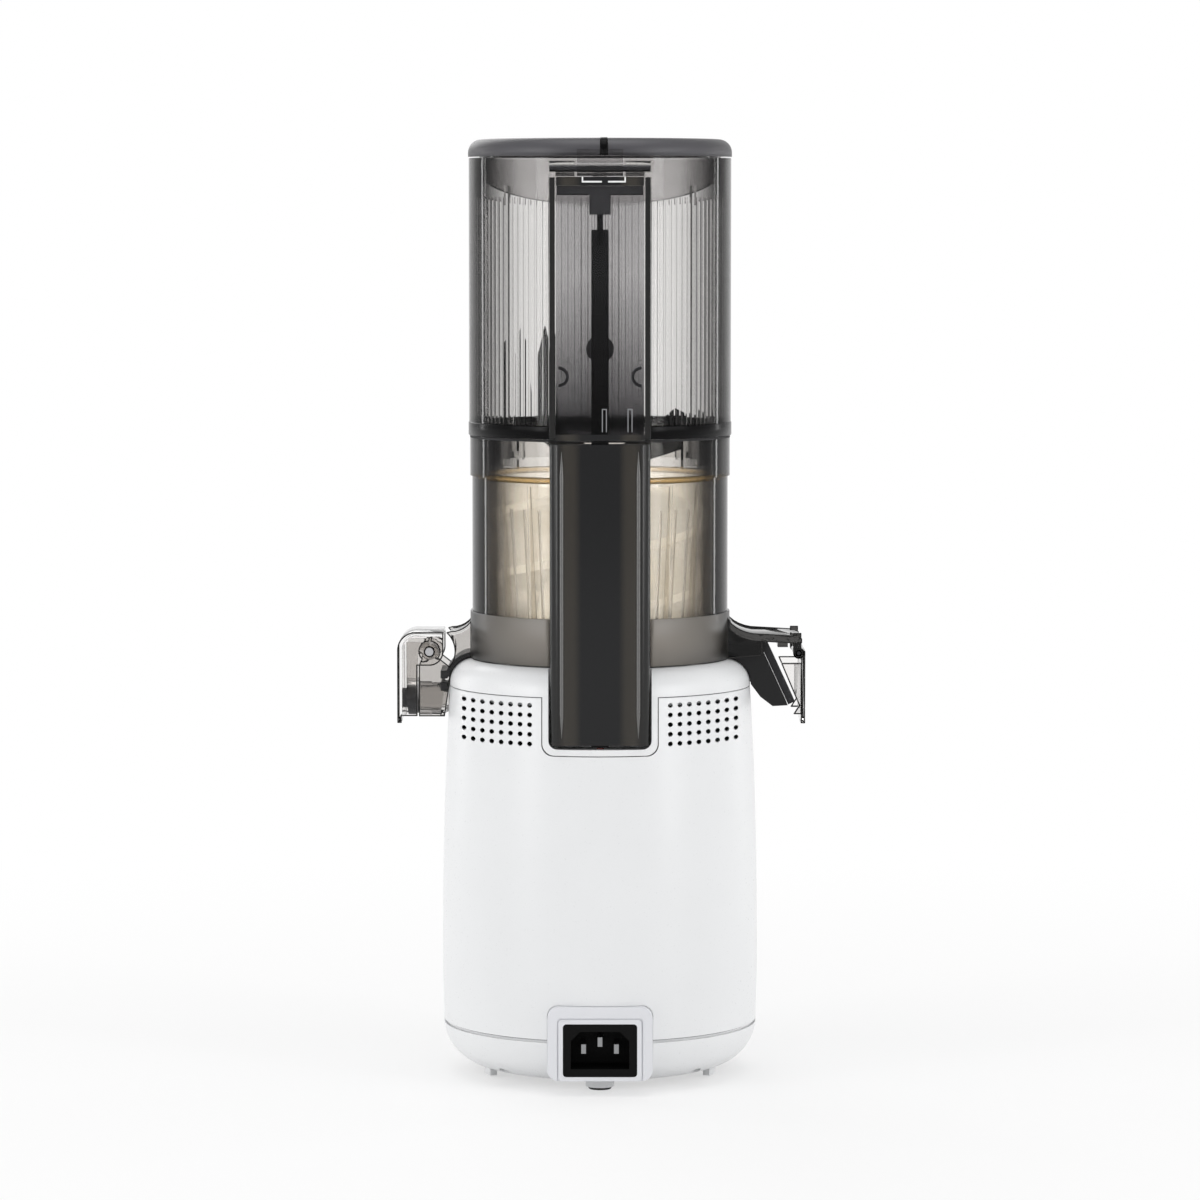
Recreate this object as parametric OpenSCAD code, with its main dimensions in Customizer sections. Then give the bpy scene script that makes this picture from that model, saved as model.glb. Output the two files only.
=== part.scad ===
// Upright slow juicer: a motor base, a lift-off juicing chamber with its strainer and auger,
// a fluted hopper with a hinged lid, and two capped spouts. Millimetres, +Z up.
// The origin is on the drive axis at the floor, and the front of the machine faces -Y.

/* [Base] */
// Height of the deck that the chamber stands on
base_h = 182; // [176:1:192]
// Widest radius of the base
base_r = 69; // [68:0.5:72]
// How far the neck under the shoulder stands in from the widest radius
neck_in = 3.4; // [2.6:0.2:5]
// Wall of the moulded casings
wall = 2.6; // [2:0.1:3]
// Height of the seam between the bottom cover and the housing
bottom_seam_z = 23.5; // [22:0.5:26]
// Gap under the bottom cover
ground_gap = 3.5; // [3:0.1:4.5]
// Rounding of the lower edge
bottom_round = 20; // [17:0.5:20.5]
// Rounding of the shoulder
shoulder_round = 11; // [9:0.5:11.5]
// Depth of the top cover from the deck down to its seam
cover_drop = 12.2; // [12:0.1:14]

/* [Rear notch and spine] */
// Width of the upright spine at the back
spine_w = 42.8; // [40:0.2:44]
// How far the spine's rear face stands in from the base's widest radius
spine_in = 3; // [2:0.5:5]
// Width of the flat rear face of the spine
spine_face_w = 32; // [28:0.5:34]
// How far the spine hangs below the deck
spine_drop = 32; // [30:0.5:34]
// Gap between the spine and its notch
notch_gap = 0.6; // [0.4:0.1:0.8]

/* [Vents] */
// Columns of holes in each group
vent_cols = 8; // [5:1:8]
// Rows of holes
vent_rows = 5; // [3:1:5]
// Distance from hole to hole
vent_pitch = 4.1; // [3.6:0.1:4.2]
// Diameter of a hole
vent_d = 2.1; // [1.6:0.1:2.6]

/* [Selector knob] */
// Height of the knob's axis
knob_z = 96; // [86:1:106]
// Diameter of the knob
knob_d = 35; // [32:0.5:36]
// How far the knob stands proud of the front
knob_proud = 6; // [4:0.2:6.4]

/* [Gearbox] */
// Size of the gear teeth
gear_module = 1.25; // [1.2:0.01:1.28]
// Teeth on a sun gear
sun_teeth = 12; // [12:6:12]
// Teeth on a planet gear
planet_teeth = 18; // [18:6:18]
// Width of the gears
gear_w = 10; // [8:0.5:11]
// Play on each flank of a tooth
gear_play = 0.12; // [0.08:0.01:0.16]

/* [Motor] */
// Radius of the motor
motor_r = 36; // [32:0.5:38]
// Length of the motor
motor_l = 70; // [60:1:72]

/* [Chamber] */
// Outer radius of the clear wall
chamber_r = 55.8; // [55.4:0.1:56]
// Height of the chamber above the deck
chamber_h = 96.5; // [92:0.5:102]
// Height of the frosted band at its foot
band_h = 21; // [20:0.5:22]
// Height of the collar at its top
collar_h = 16.5; // [15.5:0.5:18]
// Wall of the clear plastic parts
clear_wall = 2.4; // [2.1:0.1:2.6]

/* [Strainer and auger] */
// Slots in the strainer
strainer_slots = 40; // [24:4:48]
// Inner radius of the strainer at its foot
strainer_foot_r = 44; // [42:0.5:45]
// Inner radius of the strainer at its rim
strainer_rim_r = 49.5; // [48:0.5:49.8]
// Starts of the screw on the auger
auger_starts = 2; // [1:1:3]
// Turns of each screw
auger_turns = 1.2; // [0.8:0.1:1.4]
// Gap between the screw and the strainer
auger_gap = 0.6; // [0.4:0.1:1]

/* [Hopper and lid] */
// Height of the hopper
hopper_h = 120; // [110:1:130]
// Outer radius of the hopper
hopper_r = 57.1; // [56.9:0.1:57.4]
// Flutes round the whole hopper
flutes = 120; // [60:12:132]
// Thickness of the lid
lid_h = 7.4; // [6.5:0.1:9]
// Height of the hinge below the lid's seat
hinge_drop = 5; // [4.8:0.1:5.4]
// Depth of the lid's inner skirt at the front
skirt_front = 21; // [16:0.5:23]

/* [Spouts] */
// Reach of the juice cap from the axis
juice_reach = 88.6; // [87:0.2:90]
// Width of the juice spout
juice_w = 26; // [24:0.5:28]
// Reach of the pulp cap from the axis
pulp_reach = 89.6; // [88.6:0.2:91]
// Width of the pulp spout
pulp_w = 34; // [32:0.5:36]
// How far the spouts sit in front of the axis
spout_forward = 8; // [6:0.5:10]
// Depth of the caps below the deck
cap_drop = 28.4; // [27:0.2:30]

/* [Power inlet] */
// Width of the inlet's face
inlet_w = 31.7; // [31:0.1:32.4]
// Height of the inlet's face
inlet_h = 22.8; // [22.4:0.1:23.4]
// Pitch of the outer two pins
pin_pitch = 14; // [13.8:0.1:14.2]
// How far the inlet's frame stands out from the widest radius
inlet_proud = 2; // [1:0.5:4]

/* [Hidden] */
$fn = 96;
// Overrun of every cut
over = 1;
// Play of a running fit, on the radius
run_play = 0.08;
// Clearance between faces of pieces that move past each other
play = 0.3;
// Gap between curved faces of pieces that are fixed together
snug = 0.15;

// Base, worked out
neck_r = base_r - neck_in;
spine_y = base_r - spine_in;
inlet_y = base_r + inlet_proud;
// Shadow line between the moulded shells
seam = 0.4;
cover_z = base_h - cover_drop;
deck_t = wall;
waist_z = bottom_seam_z * 2;
deck_r = neck_r - shoulder_round;
housing_steps = 9;
housing_power_share = 2.4;
lap_h = wall * 1.4;
lap_t = wall * 0.5;
// Outline of the housing from the seam at the bottom to the neck
function housing_outer(t) = base_r - (base_r - neck_r) * pow(t, housing_power_share);
function housing_side(inset) = [for (i = [0 : housing_steps])
  [housing_outer(i / housing_steps) - inset, waist_z + (cover_z - waist_z) * i / housing_steps]];
foot_edge_r = base_r - wall * 0.2;

// Notch for the spine
notch_half = spine_w / 2 + notch_gap;
liner_t = wall;
notch_floor_z = base_h - spine_drop - wall * 0.7;
notch_depth = 13.5;
notch_back_y = spine_y - notch_depth;
liner_half = notch_half + liner_t;
liner_bottom_z = notch_floor_z - liner_t;
liner_corner = 5;
// Plunger of the interlock
plunger_r = 1.5;
plunger_inset = 4.6;
plunger_y = spine_y - plunger_inset;
plunger_rest = 0.5;
rod_travel = 2.3;
plunger_len = 11.6;
switch_w = 16;
switch_t = 8.4;
switch_rear = 2.2;
switch_h = 12;

// Feet and skids
foot_r = 5;
foot_ring_r = base_r - 19;
foot_pad_h = 4;
foot_collar = 1.15;
foot_sink = 0.4;
skid_r = base_r - 17.5;
skid_t = 3;
skid_w = 7;
skid_at_deg = 22;
skid_gap = 0.8;
// Screws of the bottom cover
screw_ring_r = base_r - wall * 4.6;
screw_post_r = 4;
screw_r = 1.5;
screw_head_r = 2.9;
screw_head_h = 2.5;
screw_len = 26;
screw_seat_z = bottom_seam_z - 9;
screw_post_h = 30;

// Power inlet
bezel_half = 22.5;
bezel_top_z = 38.5;
bezel_bottom_z = 6.8;
bezel_corner = 5;
bezel_back_y = base_r - 15;
inlet_z = 19.9;
inlet_depth = 20;
inlet_rim = 3.35;
inlet_cavity_depth = 16;
inlet_cavity_chamfer = 4;
inlet_corner = 1.5;
inlet_recess = 0.5;
frame_line = 0.6;
frame_margin = 1.9;
pin_w = 2;
pin_tall = 4;
pin_rise = 3;
pin_out = 12;

// Drive train heights, from the deck downwards
plate_drop = 10;
plate_t = 4;
plate_r = 46;
post_ring_r = 41;
post_r = 4;
case_h = 42;
case_floor = 3.4;
plate_top_z = base_h - plate_drop;
case_top_z = plate_top_z - plate_t;
case_z = case_top_z - case_h;
pitch_r_sun = gear_module * sun_teeth / 2;
pitch_r_planet = gear_module * planet_teeth / 2;
planet_ring_r = pitch_r_sun + pitch_r_planet;
ring_teeth = sun_teeth + 2 * planet_teeth;
pitch_r_ring = gear_module * ring_teeth / 2;
case_wall = 5.4;
case_r = pitch_r_ring + case_wall;
carrier_t = 3.6;
axial_gap = 0.8;
stage_h = gear_w + carrier_t + axial_gap * 2;
stage_1_z = case_z + case_floor + axial_gap;
stage_2_z = stage_1_z + stage_h;
planet_pin_r = 3;
carrier_r = planet_ring_r + planet_pin_r + 2;
shaft_r = 4;
hex_r = 8;
output_r = 7;
drive_rise = 22;
bearing_r = 13;
seal_r = 11;

// Motor
motor_top_z = case_z;
motor_z = motor_top_z - motor_l;
motor_wall = 2;
motor_bearing_r = 11;
motor_bearing_h = 7;
stator_in_r = motor_r * 0.62;
air_gap = 0.5;
rotor_r = stator_in_r - air_gap;
coil_margin = 8;
fan_drop = 3;
fan_h = 11;
fan_r = motor_r - 2;
fan_blades = 9;
fan_blade_t = 1.2;
fan_hub_r = 9;
board_z = bottom_seam_z + 1;
board_t = 1.6;
board_w = 66;
board_d = 56;
board_y = -10;
board_post_r = 3.2;
bottom_floor_z = ground_gap + wall;

// Selector knob
knob_r = knob_d / 2;
dish_r = knob_r + 1.5;
dish_y = base_r - wall - 1.6;
dish_t = 2.6;
knob_shaft_r = 3;
knob_stop_gap = 0.4;
knob_grip_w = 9;
knob_grip_out = 3;
rotary_w = 24;
rotary_t = 14;

// A bar with rounded long edges, square to Y
module rounded_plate(half_w, low_z, high_z, r, near_y, far_y) {
  translate([0, far_y, 0]) rotate([90, 0, 0]) linear_extrude(far_y - near_y)
    hull_free_round(half_w, low_z, high_z, r);
}
// A rectangle with round corners, made of two bars and four discs
module hull_free_round(half_w, low_z, high_z, r) {
  translate([-half_w + r, low_z]) square([(half_w - r) * 2, high_z - low_z]);
  translate([-half_w, low_z + r]) square([half_w * 2, high_z - low_z - r * 2]);
  for (x = [-half_w + r, half_w - r])
    for (z = [low_z + r, high_z - r])
      translate([x, z]) circle(r);
}
// Round stock along Y
module rod_y(r, near_y, far_y) {
  translate([0, far_y, 0]) rotate([90, 0, 0]) cylinder(r = r, h = far_y - near_y);
}
// Solid outer form of the housing and the top cover, less a wall of the given thickness
module base_form(inset) {
  rotate_extrude() polygon(concat([[0, bottom_seam_z], [foot_edge_r - inset, bottom_seam_z]],
    housing_side(inset), [[0, cover_z]]));
}
// Upper form with its round shoulder
module shoulder_form(inset) {
  rotate_extrude() difference() {
    union() {
      square_from(0, cover_z, deck_r, base_h - inset);
      square_from(0, cover_z, neck_r - inset, base_h - shoulder_round);
      intersection() {
        translate([deck_r, base_h - shoulder_round]) circle(shoulder_round - inset);
        square_from(deck_r, base_h - shoulder_round, neck_r, base_h);
      }
    }
  }
}
module square_from(x0, y0, x1, y1) {
  translate([x0, y0]) square([x1 - x0, y1 - y0]);
}
// Block that the liner of the notch fills
module notch_block(half, low_z, near_y, corner) {
  rounded_plate(half, low_z, base_h + corner + over, corner, near_y, base_r + over);
}
module vent_holes() {
  first_x = spine_w / 2 + vent_pitch * 2.1;
  top_z = cover_z - vent_pitch * 0.8;
  for (side = [-1, 1])
    for (c = [0 : vent_cols - 1])
      for (r = [0 : vent_rows - 1])
        translate([side * (first_x + c * vent_pitch), 0, top_z - r * vent_pitch])
          rotate([-90, 0, 0]) cylinder(d = vent_d, h = base_r + over);
}
module knob_axis() {
  translate([0, 0, knob_z]) children();
}

module base_housing() {
  color("whitesmoke") difference() {
    union() {
      difference() {
        base_form(0);
        base_form_inside();
      }
      intersection() {
        base_form(0);
        knob_axis() rod_y(dish_r + dish_t, -base_r, -dish_y + dish_t);
      }
      for (a = [45 : 90 : 315])
        rotate([0, 0, a]) translate([screw_ring_r, 0, bottom_seam_z]) {
          cylinder(r = screw_post_r, h = screw_post_h);
          translate([0, -wall / 2, 0]) cube([base_r - wall / 2 - screw_ring_r, wall, screw_post_h]);
        }
    }
    notch_block(liner_half + seam, liner_bottom_z - seam, notch_back_y - liner_t - over, liner_corner);
    vent_holes();
    knob_axis() rod_y(dish_r, -base_r - over, -dish_y);
    knob_axis() rod_y(knob_shaft_r + run_play, -base_r - over, 0);
    bezel_cut();
    for (a = [45 : 90 : 315])
      rotate([0, 0, a]) translate([screw_ring_r, 0, bottom_seam_z - over])
        cylinder(r = screw_r, h = screw_len);
  }
}
// The hollow of the housing, open at the top and the bottom
module base_form_inside() {
  rotate_extrude() polygon(concat([[0, bottom_seam_z - over],
    [foot_edge_r - wall, bottom_seam_z - over]], housing_side(wall),
    [[neck_r - wall, cover_z + over], [0, cover_z + over]]));
}
module bezel_cut() {
  rounded_plate(bezel_half + snug, bezel_bottom_z - snug, bezel_top_z + snug, bezel_corner,
    bezel_back_y, base_r + over);
}

// Shallow groove round the outside, just above the given height
module seam_groove(low_z, r) {
  translate([0, 0, low_z - over]) difference() {
    cylinder(r = r + wall, h = seam + over);
    translate([0, 0, -over]) cylinder(r = r - wall / 2, h = seam + over * 3);
  }
}
module base_top_cover() {
  color("white") difference() {
    union() {
      difference() {
        shoulder_form(0);
        translate([0, 0, -over]) cylinder(r = neck_r - wall, h = cover_z + over);
        difference() {
          shoulder_form(wall);
          translate([0, 0, base_h - deck_t]) cylinder(r = neck_r, h = deck_t);
        }
        seam_groove(cover_z, neck_r);
      }
      // Lap that drops inside the housing
      translate([0, 0, cover_z - lap_h]) difference() {
        cylinder(r = neck_r - wall - snug, h = lap_h + wall);
        translate([0, 0, -over]) cylinder(r = neck_r - wall - snug - lap_t, h = lap_h + wall + over * 2);
      }
      // Liner of the notch, cut to the round of the casing
      intersection() {
        union() {
          base_form(0);
          shoulder_form(0);
        }
        notch_block(liner_half, liner_bottom_z, notch_back_y - liner_t, liner_corner);
      }
      for (a = [45 : 90 : 315])
        rotate([0, 0, a]) translate([post_ring_r, 0, plate_top_z])
          cylinder(r = post_r, h = plate_drop - deck_t / 2);
    }
    notch_block(notch_half, notch_floor_z, notch_back_y, liner_corner - liner_t / 2);
    translate([0, 0, cover_z]) cylinder(r = seal_r, h = base_h);
    translate([0, plunger_y, liner_bottom_z - over]) cylinder(r = plunger_r + run_play, h = liner_t * 3);
  }
}

module base_bottom_cover() {
  round_r = foot_edge_r - bottom_round;
  color("white") difference() {
    union() {
      difference() {
        cup(round_r, 0);
        cup(round_r, wall);
      }
      intersection() {
        cup(round_r, 0);
        for (a = [45 : 90 : 315])
          rotate([0, 0, a]) translate([screw_ring_r, 0, bottom_floor_z - wall / 2])
            cylinder(r = screw_post_r, h = bottom_seam_z - bottom_floor_z + wall / 2);
      }
      for (a = [90 : 120 : 330])
        rotate([0, 0, a]) translate([foot_ring_r, 0, ground_gap / 3])
          cylinder(r = foot_r + foot_collar, h = ground_gap);
      for (a = [-skid_at_deg, skid_at_deg, 180 - skid_at_deg, 180 + skid_at_deg])
        rotate([0, 0, a]) skid();
      for (x = [-1, 1])
        for (y = [-1, 1])
          translate([x * (board_w / 2 - board_post_r), board_y + y * (board_d / 2 - board_post_r),
            bottom_floor_z - wall / 2])
            cylinder(r = board_post_r, h = board_z - bottom_floor_z + wall / 2);
    }
    for (a = [45 : 90 : 315])
      rotate([0, 0, a]) translate([screw_ring_r, 0, 0]) {
        cylinder(r = screw_head_r + play, h = screw_seat_z);
        cylinder(r = screw_r + play, h = bottom_seam_z + over);
      }
    for (a = [90 : 120 : 330])
      rotate([0, 0, a]) translate([foot_ring_r, 0, -over]) cylinder(r = foot_r, h = foot_pad_h + over);
    bezel_cut();
    seam_groove(bottom_seam_z - seam, foot_edge_r);
  }
}
// Curved skid that keeps the machine from tipping
module skid() {
  translate([0, 0, skid_gap]) intersection() {
    difference() {
      cylinder(r = skid_r + skid_t / 2, h = bottom_floor_z - skid_gap);
      translate([0, 0, -over]) cylinder(r = skid_r - skid_t / 2, h = bottom_floor_z);
    }
    translate([skid_r - skid_t, -skid_w / 2, 0]) cube([skid_t * 2, skid_w, bottom_floor_z]);
  }
}
// Round-edged bowl, less a wall of the given thickness
module cup(round_r, inset) {
  rise = inset > 0 ? over : 0;
  intersection() {
    union() {
      rotate_extrude() translate([round_r, bottom_seam_z]) circle(bottom_round - inset);
      translate([0, 0, bottom_seam_z - bottom_round + inset]) cylinder(r = round_r, h = bottom_round + rise);
      translate([0, 0, bottom_seam_z]) cylinder(r = foot_edge_r - inset, h = over);
    }
    cylinder(r = base_r, h = bottom_seam_z + rise);
  }
}
module rubber_feet() {
  color("#1c1c1e") for (a = [90 : 120 : 330])
    rotate([0, 0, a]) translate([foot_ring_r, 0, 0]) {
      cylinder(r1 = foot_r - foot_sink, r2 = foot_r, h = foot_sink);
      translate([0, 0, foot_sink]) cylinder(r = foot_r, h = foot_pad_h - foot_sink);
    }
}
module cover_screws() {
  color("silver") for (a = [45 : 90 : 315])
    rotate([0, 0, a]) translate([screw_ring_r, 0, screw_seat_z]) {
      translate([0, 0, -screw_head_h]) cylinder(r = screw_head_r, h = screw_head_h);
      translate([0, 0, -screw_head_h / 2]) cylinder(r = screw_r, h = screw_len + screw_head_h / 2);
    }
}

module inlet_hole(extra, near_y, far_y) {
  rounded_plate(inlet_w / 2 + extra, inlet_z - inlet_h / 2 - extra, inlet_z + inlet_h / 2 + extra,
    inlet_corner, near_y, far_y);
}
module inlet_bezel() {
  color("white") difference() {
    rounded_plate(bezel_half, bezel_bottom_z, bezel_top_z, bezel_corner, bezel_back_y + over, inlet_y);
    inlet_hole(0, bezel_back_y - over, inlet_y + over);
    difference() {
      inlet_hole(frame_margin + frame_line, inlet_y - frame_line, inlet_y + over);
      inlet_hole(frame_margin, inlet_y - frame_line - over, inlet_y + over * 2);
    }
  }
}
module inlet_socket() {
  cavity_w = inlet_w - inlet_rim * 2;
  cavity_h = inlet_h - inlet_rim * 2;
  face_y = inlet_y - inlet_recess;
  color("#141416") difference() {
    inlet_hole(0, face_y - inlet_depth, face_y);
    translate([0, face_y + over, inlet_z]) rotate([90, 0, 0]) linear_extrude(inlet_cavity_depth + over)
      polygon([[-cavity_w / 2, -cavity_h / 2], [cavity_w / 2, -cavity_h / 2],
        [cavity_w / 2, cavity_h / 2 - inlet_cavity_chamfer],
        [cavity_w / 2 - inlet_cavity_chamfer, cavity_h / 2],
        [-cavity_w / 2 + inlet_cavity_chamfer, cavity_h / 2],
        [-cavity_w / 2, cavity_h / 2 - inlet_cavity_chamfer]]);
  }
}
module inlet_pins() {
  root_y = inlet_y - inlet_recess - inlet_cavity_depth;
  color("silver") for (x = [-1, 0, 1])
    translate([x * pin_pitch / 2 - pin_w / 2, root_y, inlet_z - pin_tall / 2 + (x == 0 ? pin_rise : 0)])
      cube([pin_w, pin_out, pin_tall]);
}

// Involute gear teeth, with the flanks worked out from the base circle
pressure_deg = 25;
flank_steps = 3;
addendum_share = 0.88;
dedendum_share = 1.12;
function involute(a) = tan(a) * 180 / PI - a;
function tooth_half_deg(n, r, play_on) =
  let (pr = gear_module * n / 2, br = pr * cos(pressure_deg), at = acos(min(1, br / max(r, br))))
  90 / n - play_on / pr * 180 / PI + involute(pressure_deg) - involute(at);
function at_polar(r, a) = [r * cos(a), r * sin(a)];
function gear_points(n, r_in, r_out, play_on) =
  let (low = max(r_in, gear_module * n / 2 * cos(pressure_deg)))
  [for (i = [0 : n - 1]) for (s = [-1, 1]) for (k = [0 : flank_steps])
    let (step = s < 0 ? k : flank_steps - k,
      r = step == 0 ? r_in : low + (r_out - low) * (step - 1) / (flank_steps - 1))
    at_polar(r, i * 360 / n + s * tooth_half_deg(n, r, play_on))];
module external_gear(n, h) {
  pr = gear_module * n / 2;
  linear_extrude(h) polygon(gear_points(n, pr - gear_module * dedendum_share,
    pr + gear_module * addendum_share, gear_play));
}

module motor_can() {
  color("gray") difference() {
    translate([0, 0, motor_z]) cylinder(r = motor_r, h = motor_l);
    translate([0, 0, motor_z + motor_wall]) cylinder(r = motor_r - motor_wall, h = motor_l - motor_wall * 2);
    translate([0, 0, motor_z - over]) cylinder(r = motor_bearing_r, h = motor_l + over * 2);
    // Air slots in both end faces
    for (a = [0 : 60 : 300])
      rotate([0, 0, a]) translate([motor_r * 0.55, -motor_wall, motor_z - over])
        cube([motor_r * 0.3, motor_wall * 2, motor_l + over * 2]);
  }
}
module stator_core() {
  core_z = motor_z + motor_wall + coil_margin;
  core_h = motor_l - (motor_wall + coil_margin) * 2;
  color("#8a8d90") difference() {
    translate([0, 0, core_z]) cylinder(r = motor_r - motor_wall, h = core_h);
    translate([0, 0, core_z - over]) cylinder(r = stator_in_r, h = core_h + over * 2);
  }
  color("#b06a35") for (z = [core_z - coil_margin + axial_gap, core_z + core_h])
    translate([0, 0, z]) difference() {
      cylinder(r = motor_r - motor_wall * 2, h = coil_margin - axial_gap);
      translate([0, 0, -over]) cylinder(r = stator_in_r + motor_wall, h = coil_margin + over * 2);
    }
}
module motor_bearings() {
  color("silver") for (z = [motor_z, motor_top_z - motor_bearing_h])
    translate([0, 0, z]) difference() {
      cylinder(r = motor_bearing_r, h = motor_bearing_h);
      translate([0, 0, -over]) cylinder(r = shaft_r + run_play, h = motor_bearing_h + over * 2);
    }
}
module rotor_core() {
  low = motor_z + motor_wall + coil_margin;
  color("#5c5f63") difference() {
    translate([0, 0, low]) cylinder(r = rotor_r, h = motor_l - (motor_wall + coil_margin) * 2);
    cylinder(r = shaft_r, h = base_h);
  }
}
module motor_shaft() {
  fan_z = motor_z - fan_drop - fan_h;
  color("#c9ccd0") union() {
    translate([0, 0, fan_z]) cylinder(r = shaft_r, h = stage_1_z - fan_z + gear_w / 2);
    translate([0, 0, stage_1_z]) external_gear(sun_teeth, gear_w);
  }
}
module cooling_fan() {
  fan_z = motor_z - fan_drop - fan_h;
  color("#2b2b2e") translate([0, 0, fan_z]) difference() {
    union() {
      cylinder(r = fan_hub_r, h = fan_h);
      cylinder(r = fan_r, h = fan_blade_t);
      for (a = [0 : 360 / fan_blades : 359])
        rotate([0, 0, a]) translate([fan_hub_r - fan_blade_t, -fan_blade_t / 2, 0])
          cube([fan_r - fan_hub_r, fan_blade_t, fan_h]);
    }
    translate([0, 0, -over]) cylinder(r = shaft_r, h = fan_h + over * 2);
  }
}
module gearbox_case() {
  color("#d8d2c4") difference() {
    translate([0, 0, case_z]) cylinder(r = case_r, h = case_h);
    translate([0, 0, case_z + case_floor]) rotate([0, 0, 180 / ring_teeth]) linear_extrude(case_h)
      polygon(gear_points(ring_teeth, pitch_r_ring - gear_module * addendum_share,
        pitch_r_ring + gear_module * dedendum_share, -gear_play));
    translate([0, 0, case_z - over]) cylinder(r = motor_bearing_r, h = case_h);
  }
}
module gearbox_plate() {
  color("silver") difference() {
    translate([0, 0, case_top_z]) union() {
      cylinder(r = plate_r, h = plate_t);
      cylinder(r = bearing_r + wall, h = plate_drop - deck_t);
    }
    translate([0, 0, case_top_z - over]) cylinder(r = bearing_r, h = base_h);
  }
}
module output_bearing() {
  color("#b98b4a") difference() {
    translate([0, 0, case_top_z]) cylinder(r = bearing_r, h = plate_drop - deck_t);
    translate([0, 0, case_top_z - over]) cylinder(r = output_r + run_play, h = base_h);
  }
}
module shaft_seal() {
  color("#232325") difference() {
    translate([0, 0, base_h - deck_t - axial_gap]) cylinder(r = seal_r, h = deck_t + axial_gap);
    translate([0, 0, cover_z]) cylinder(r = output_r + run_play, h = base_h);
  }
}
// Spider with three pins below it and a sun gear or the output shaft above it
module carrier(z) {
  translate([0, 0, z + gear_w + axial_gap]) cylinder(r = carrier_r, h = carrier_t);
  for (a = [0 : 120 : 240])
    rotate([0, 0, a]) translate([planet_ring_r, 0, z])
      cylinder(r = planet_pin_r, h = gear_w + axial_gap + over);
}
module carrier_1() {
  color("#a9adb2") union() {
    carrier(stage_1_z);
    translate([0, 0, stage_2_z - axial_gap - over / 2]) external_gear(sun_teeth, gear_w + axial_gap + over / 2);
  }
}
module carrier_2() {
  color("#a9adb2") difference() {
    carrier(stage_2_z);
    translate([0, 0, stage_2_z]) cylinder(r = output_r, h = base_h);
  }
}
module drive_shaft() {
  low = stage_2_z + gear_w + axial_gap;
  color("#d4d6d9") union() {
    translate([0, 0, low]) cylinder(r = output_r, h = base_h + axial_gap - low);
    translate([0, 0, base_h + axial_gap / 2]) cylinder(r = hex_r, h = drive_rise, $fn = 6);
  }
}
module planet(z, at_deg) {
  color("#ece8dc") rotate([0, 0, at_deg]) translate([planet_ring_r, 0, z]) difference() {
    rotate([0, 0, 180 / planet_teeth]) external_gear(planet_teeth, gear_w);
    translate([0, 0, -over]) cylinder(r = planet_pin_r + run_play, h = gear_w + over * 2);
  }
}
module planet_1a() { planet(stage_1_z, 0); }
module planet_1b() { planet(stage_1_z, 120); }
module planet_1c() { planet(stage_1_z, 240); }
module planet_2a() { planet(stage_2_z, 0); }
module planet_2b() { planet(stage_2_z, 120); }
module planet_2c() { planet(stage_2_z, 240); }

module control_board() {
  color("#2f6b45") translate([-board_w / 2, board_y - board_d / 2, board_z])
    cube([board_w, board_d, board_t]);
  part_h = 7;
  part_w = 14;
  color("#3a3a3d") for (x = [-1, 0, 1])
    translate([x * part_w * 1.6 - part_w / 2, board_y - part_w / 2, board_z + board_t])
      cube([part_w, part_w, part_h + x]);
}
module rotary_switch() {
  color("#e9e7e2") knob_axis() difference() {
    translate([-rotary_w / 2, -dish_y + dish_t, -rotary_w / 2]) cube([rotary_w, rotary_t, rotary_w]);
    rod_y(knob_shaft_r + run_play, -base_r, -dish_y + rotary_t);
  }
}
module selector_knob() {
  face_y = base_r + knob_proud;
  color("#c6c9cc") knob_axis() union() {
    rod_y(knob_r, -face_y + knob_grip_out, -dish_y - knob_stop_gap);
    rounded_plate(knob_grip_w / 2, -knob_r * 0.86, knob_r * 0.86, knob_grip_w / 2 - play,
      -face_y, -face_y + knob_grip_out + over);
    rod_y(knob_shaft_r, -dish_y - knob_stop_gap - over, -dish_y + rotary_t * 0.8);
  }
}
module interlock_switch() {
  top = liner_bottom_z;
  color("#1f1f22") difference() {
    translate([-switch_w / 2, plunger_y + switch_rear - switch_t, top - switch_h]) cube([switch_w, switch_t, switch_h]);
    translate([0, plunger_y, top - switch_h + wall]) cylinder(r = plunger_r + run_play, h = switch_h);
  }
}
module switch_plunger() {
  color("#d9482f") translate([0, plunger_y, notch_floor_z + plunger_rest - plunger_len])
    cylinder(r = plunger_r, h = plunger_len);
}

// Chamber, worked out
band_proud = 0.6;
collar_proud = 0.9;
chamber_top = base_h + chamber_h;
collar_z = chamber_top - collar_h;
chamber_floor = 3.4;
chamber_in_r = chamber_r - clear_wall;
hub_r = 13;
hub_h = 8;
spine_top_gap = 0.5;
spine_bottom_z = base_h - spine_drop;
spine_wall = 2;
spine_front_y = notch_back_y + notch_gap;
spine_channel_half = 17.4;
spine_round = (spine_w - spine_face_w) / 2;
// Bayonet lugs of the hopper in the collar
lug_w = 9;
lug_h = 3;
lug_out = 1.2;
lug_at = [0, 90, 180, 270];
lug_turn = 45;
neck_gap = 0.4;
neck_h = 12;
neck_t = 2;

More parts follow.
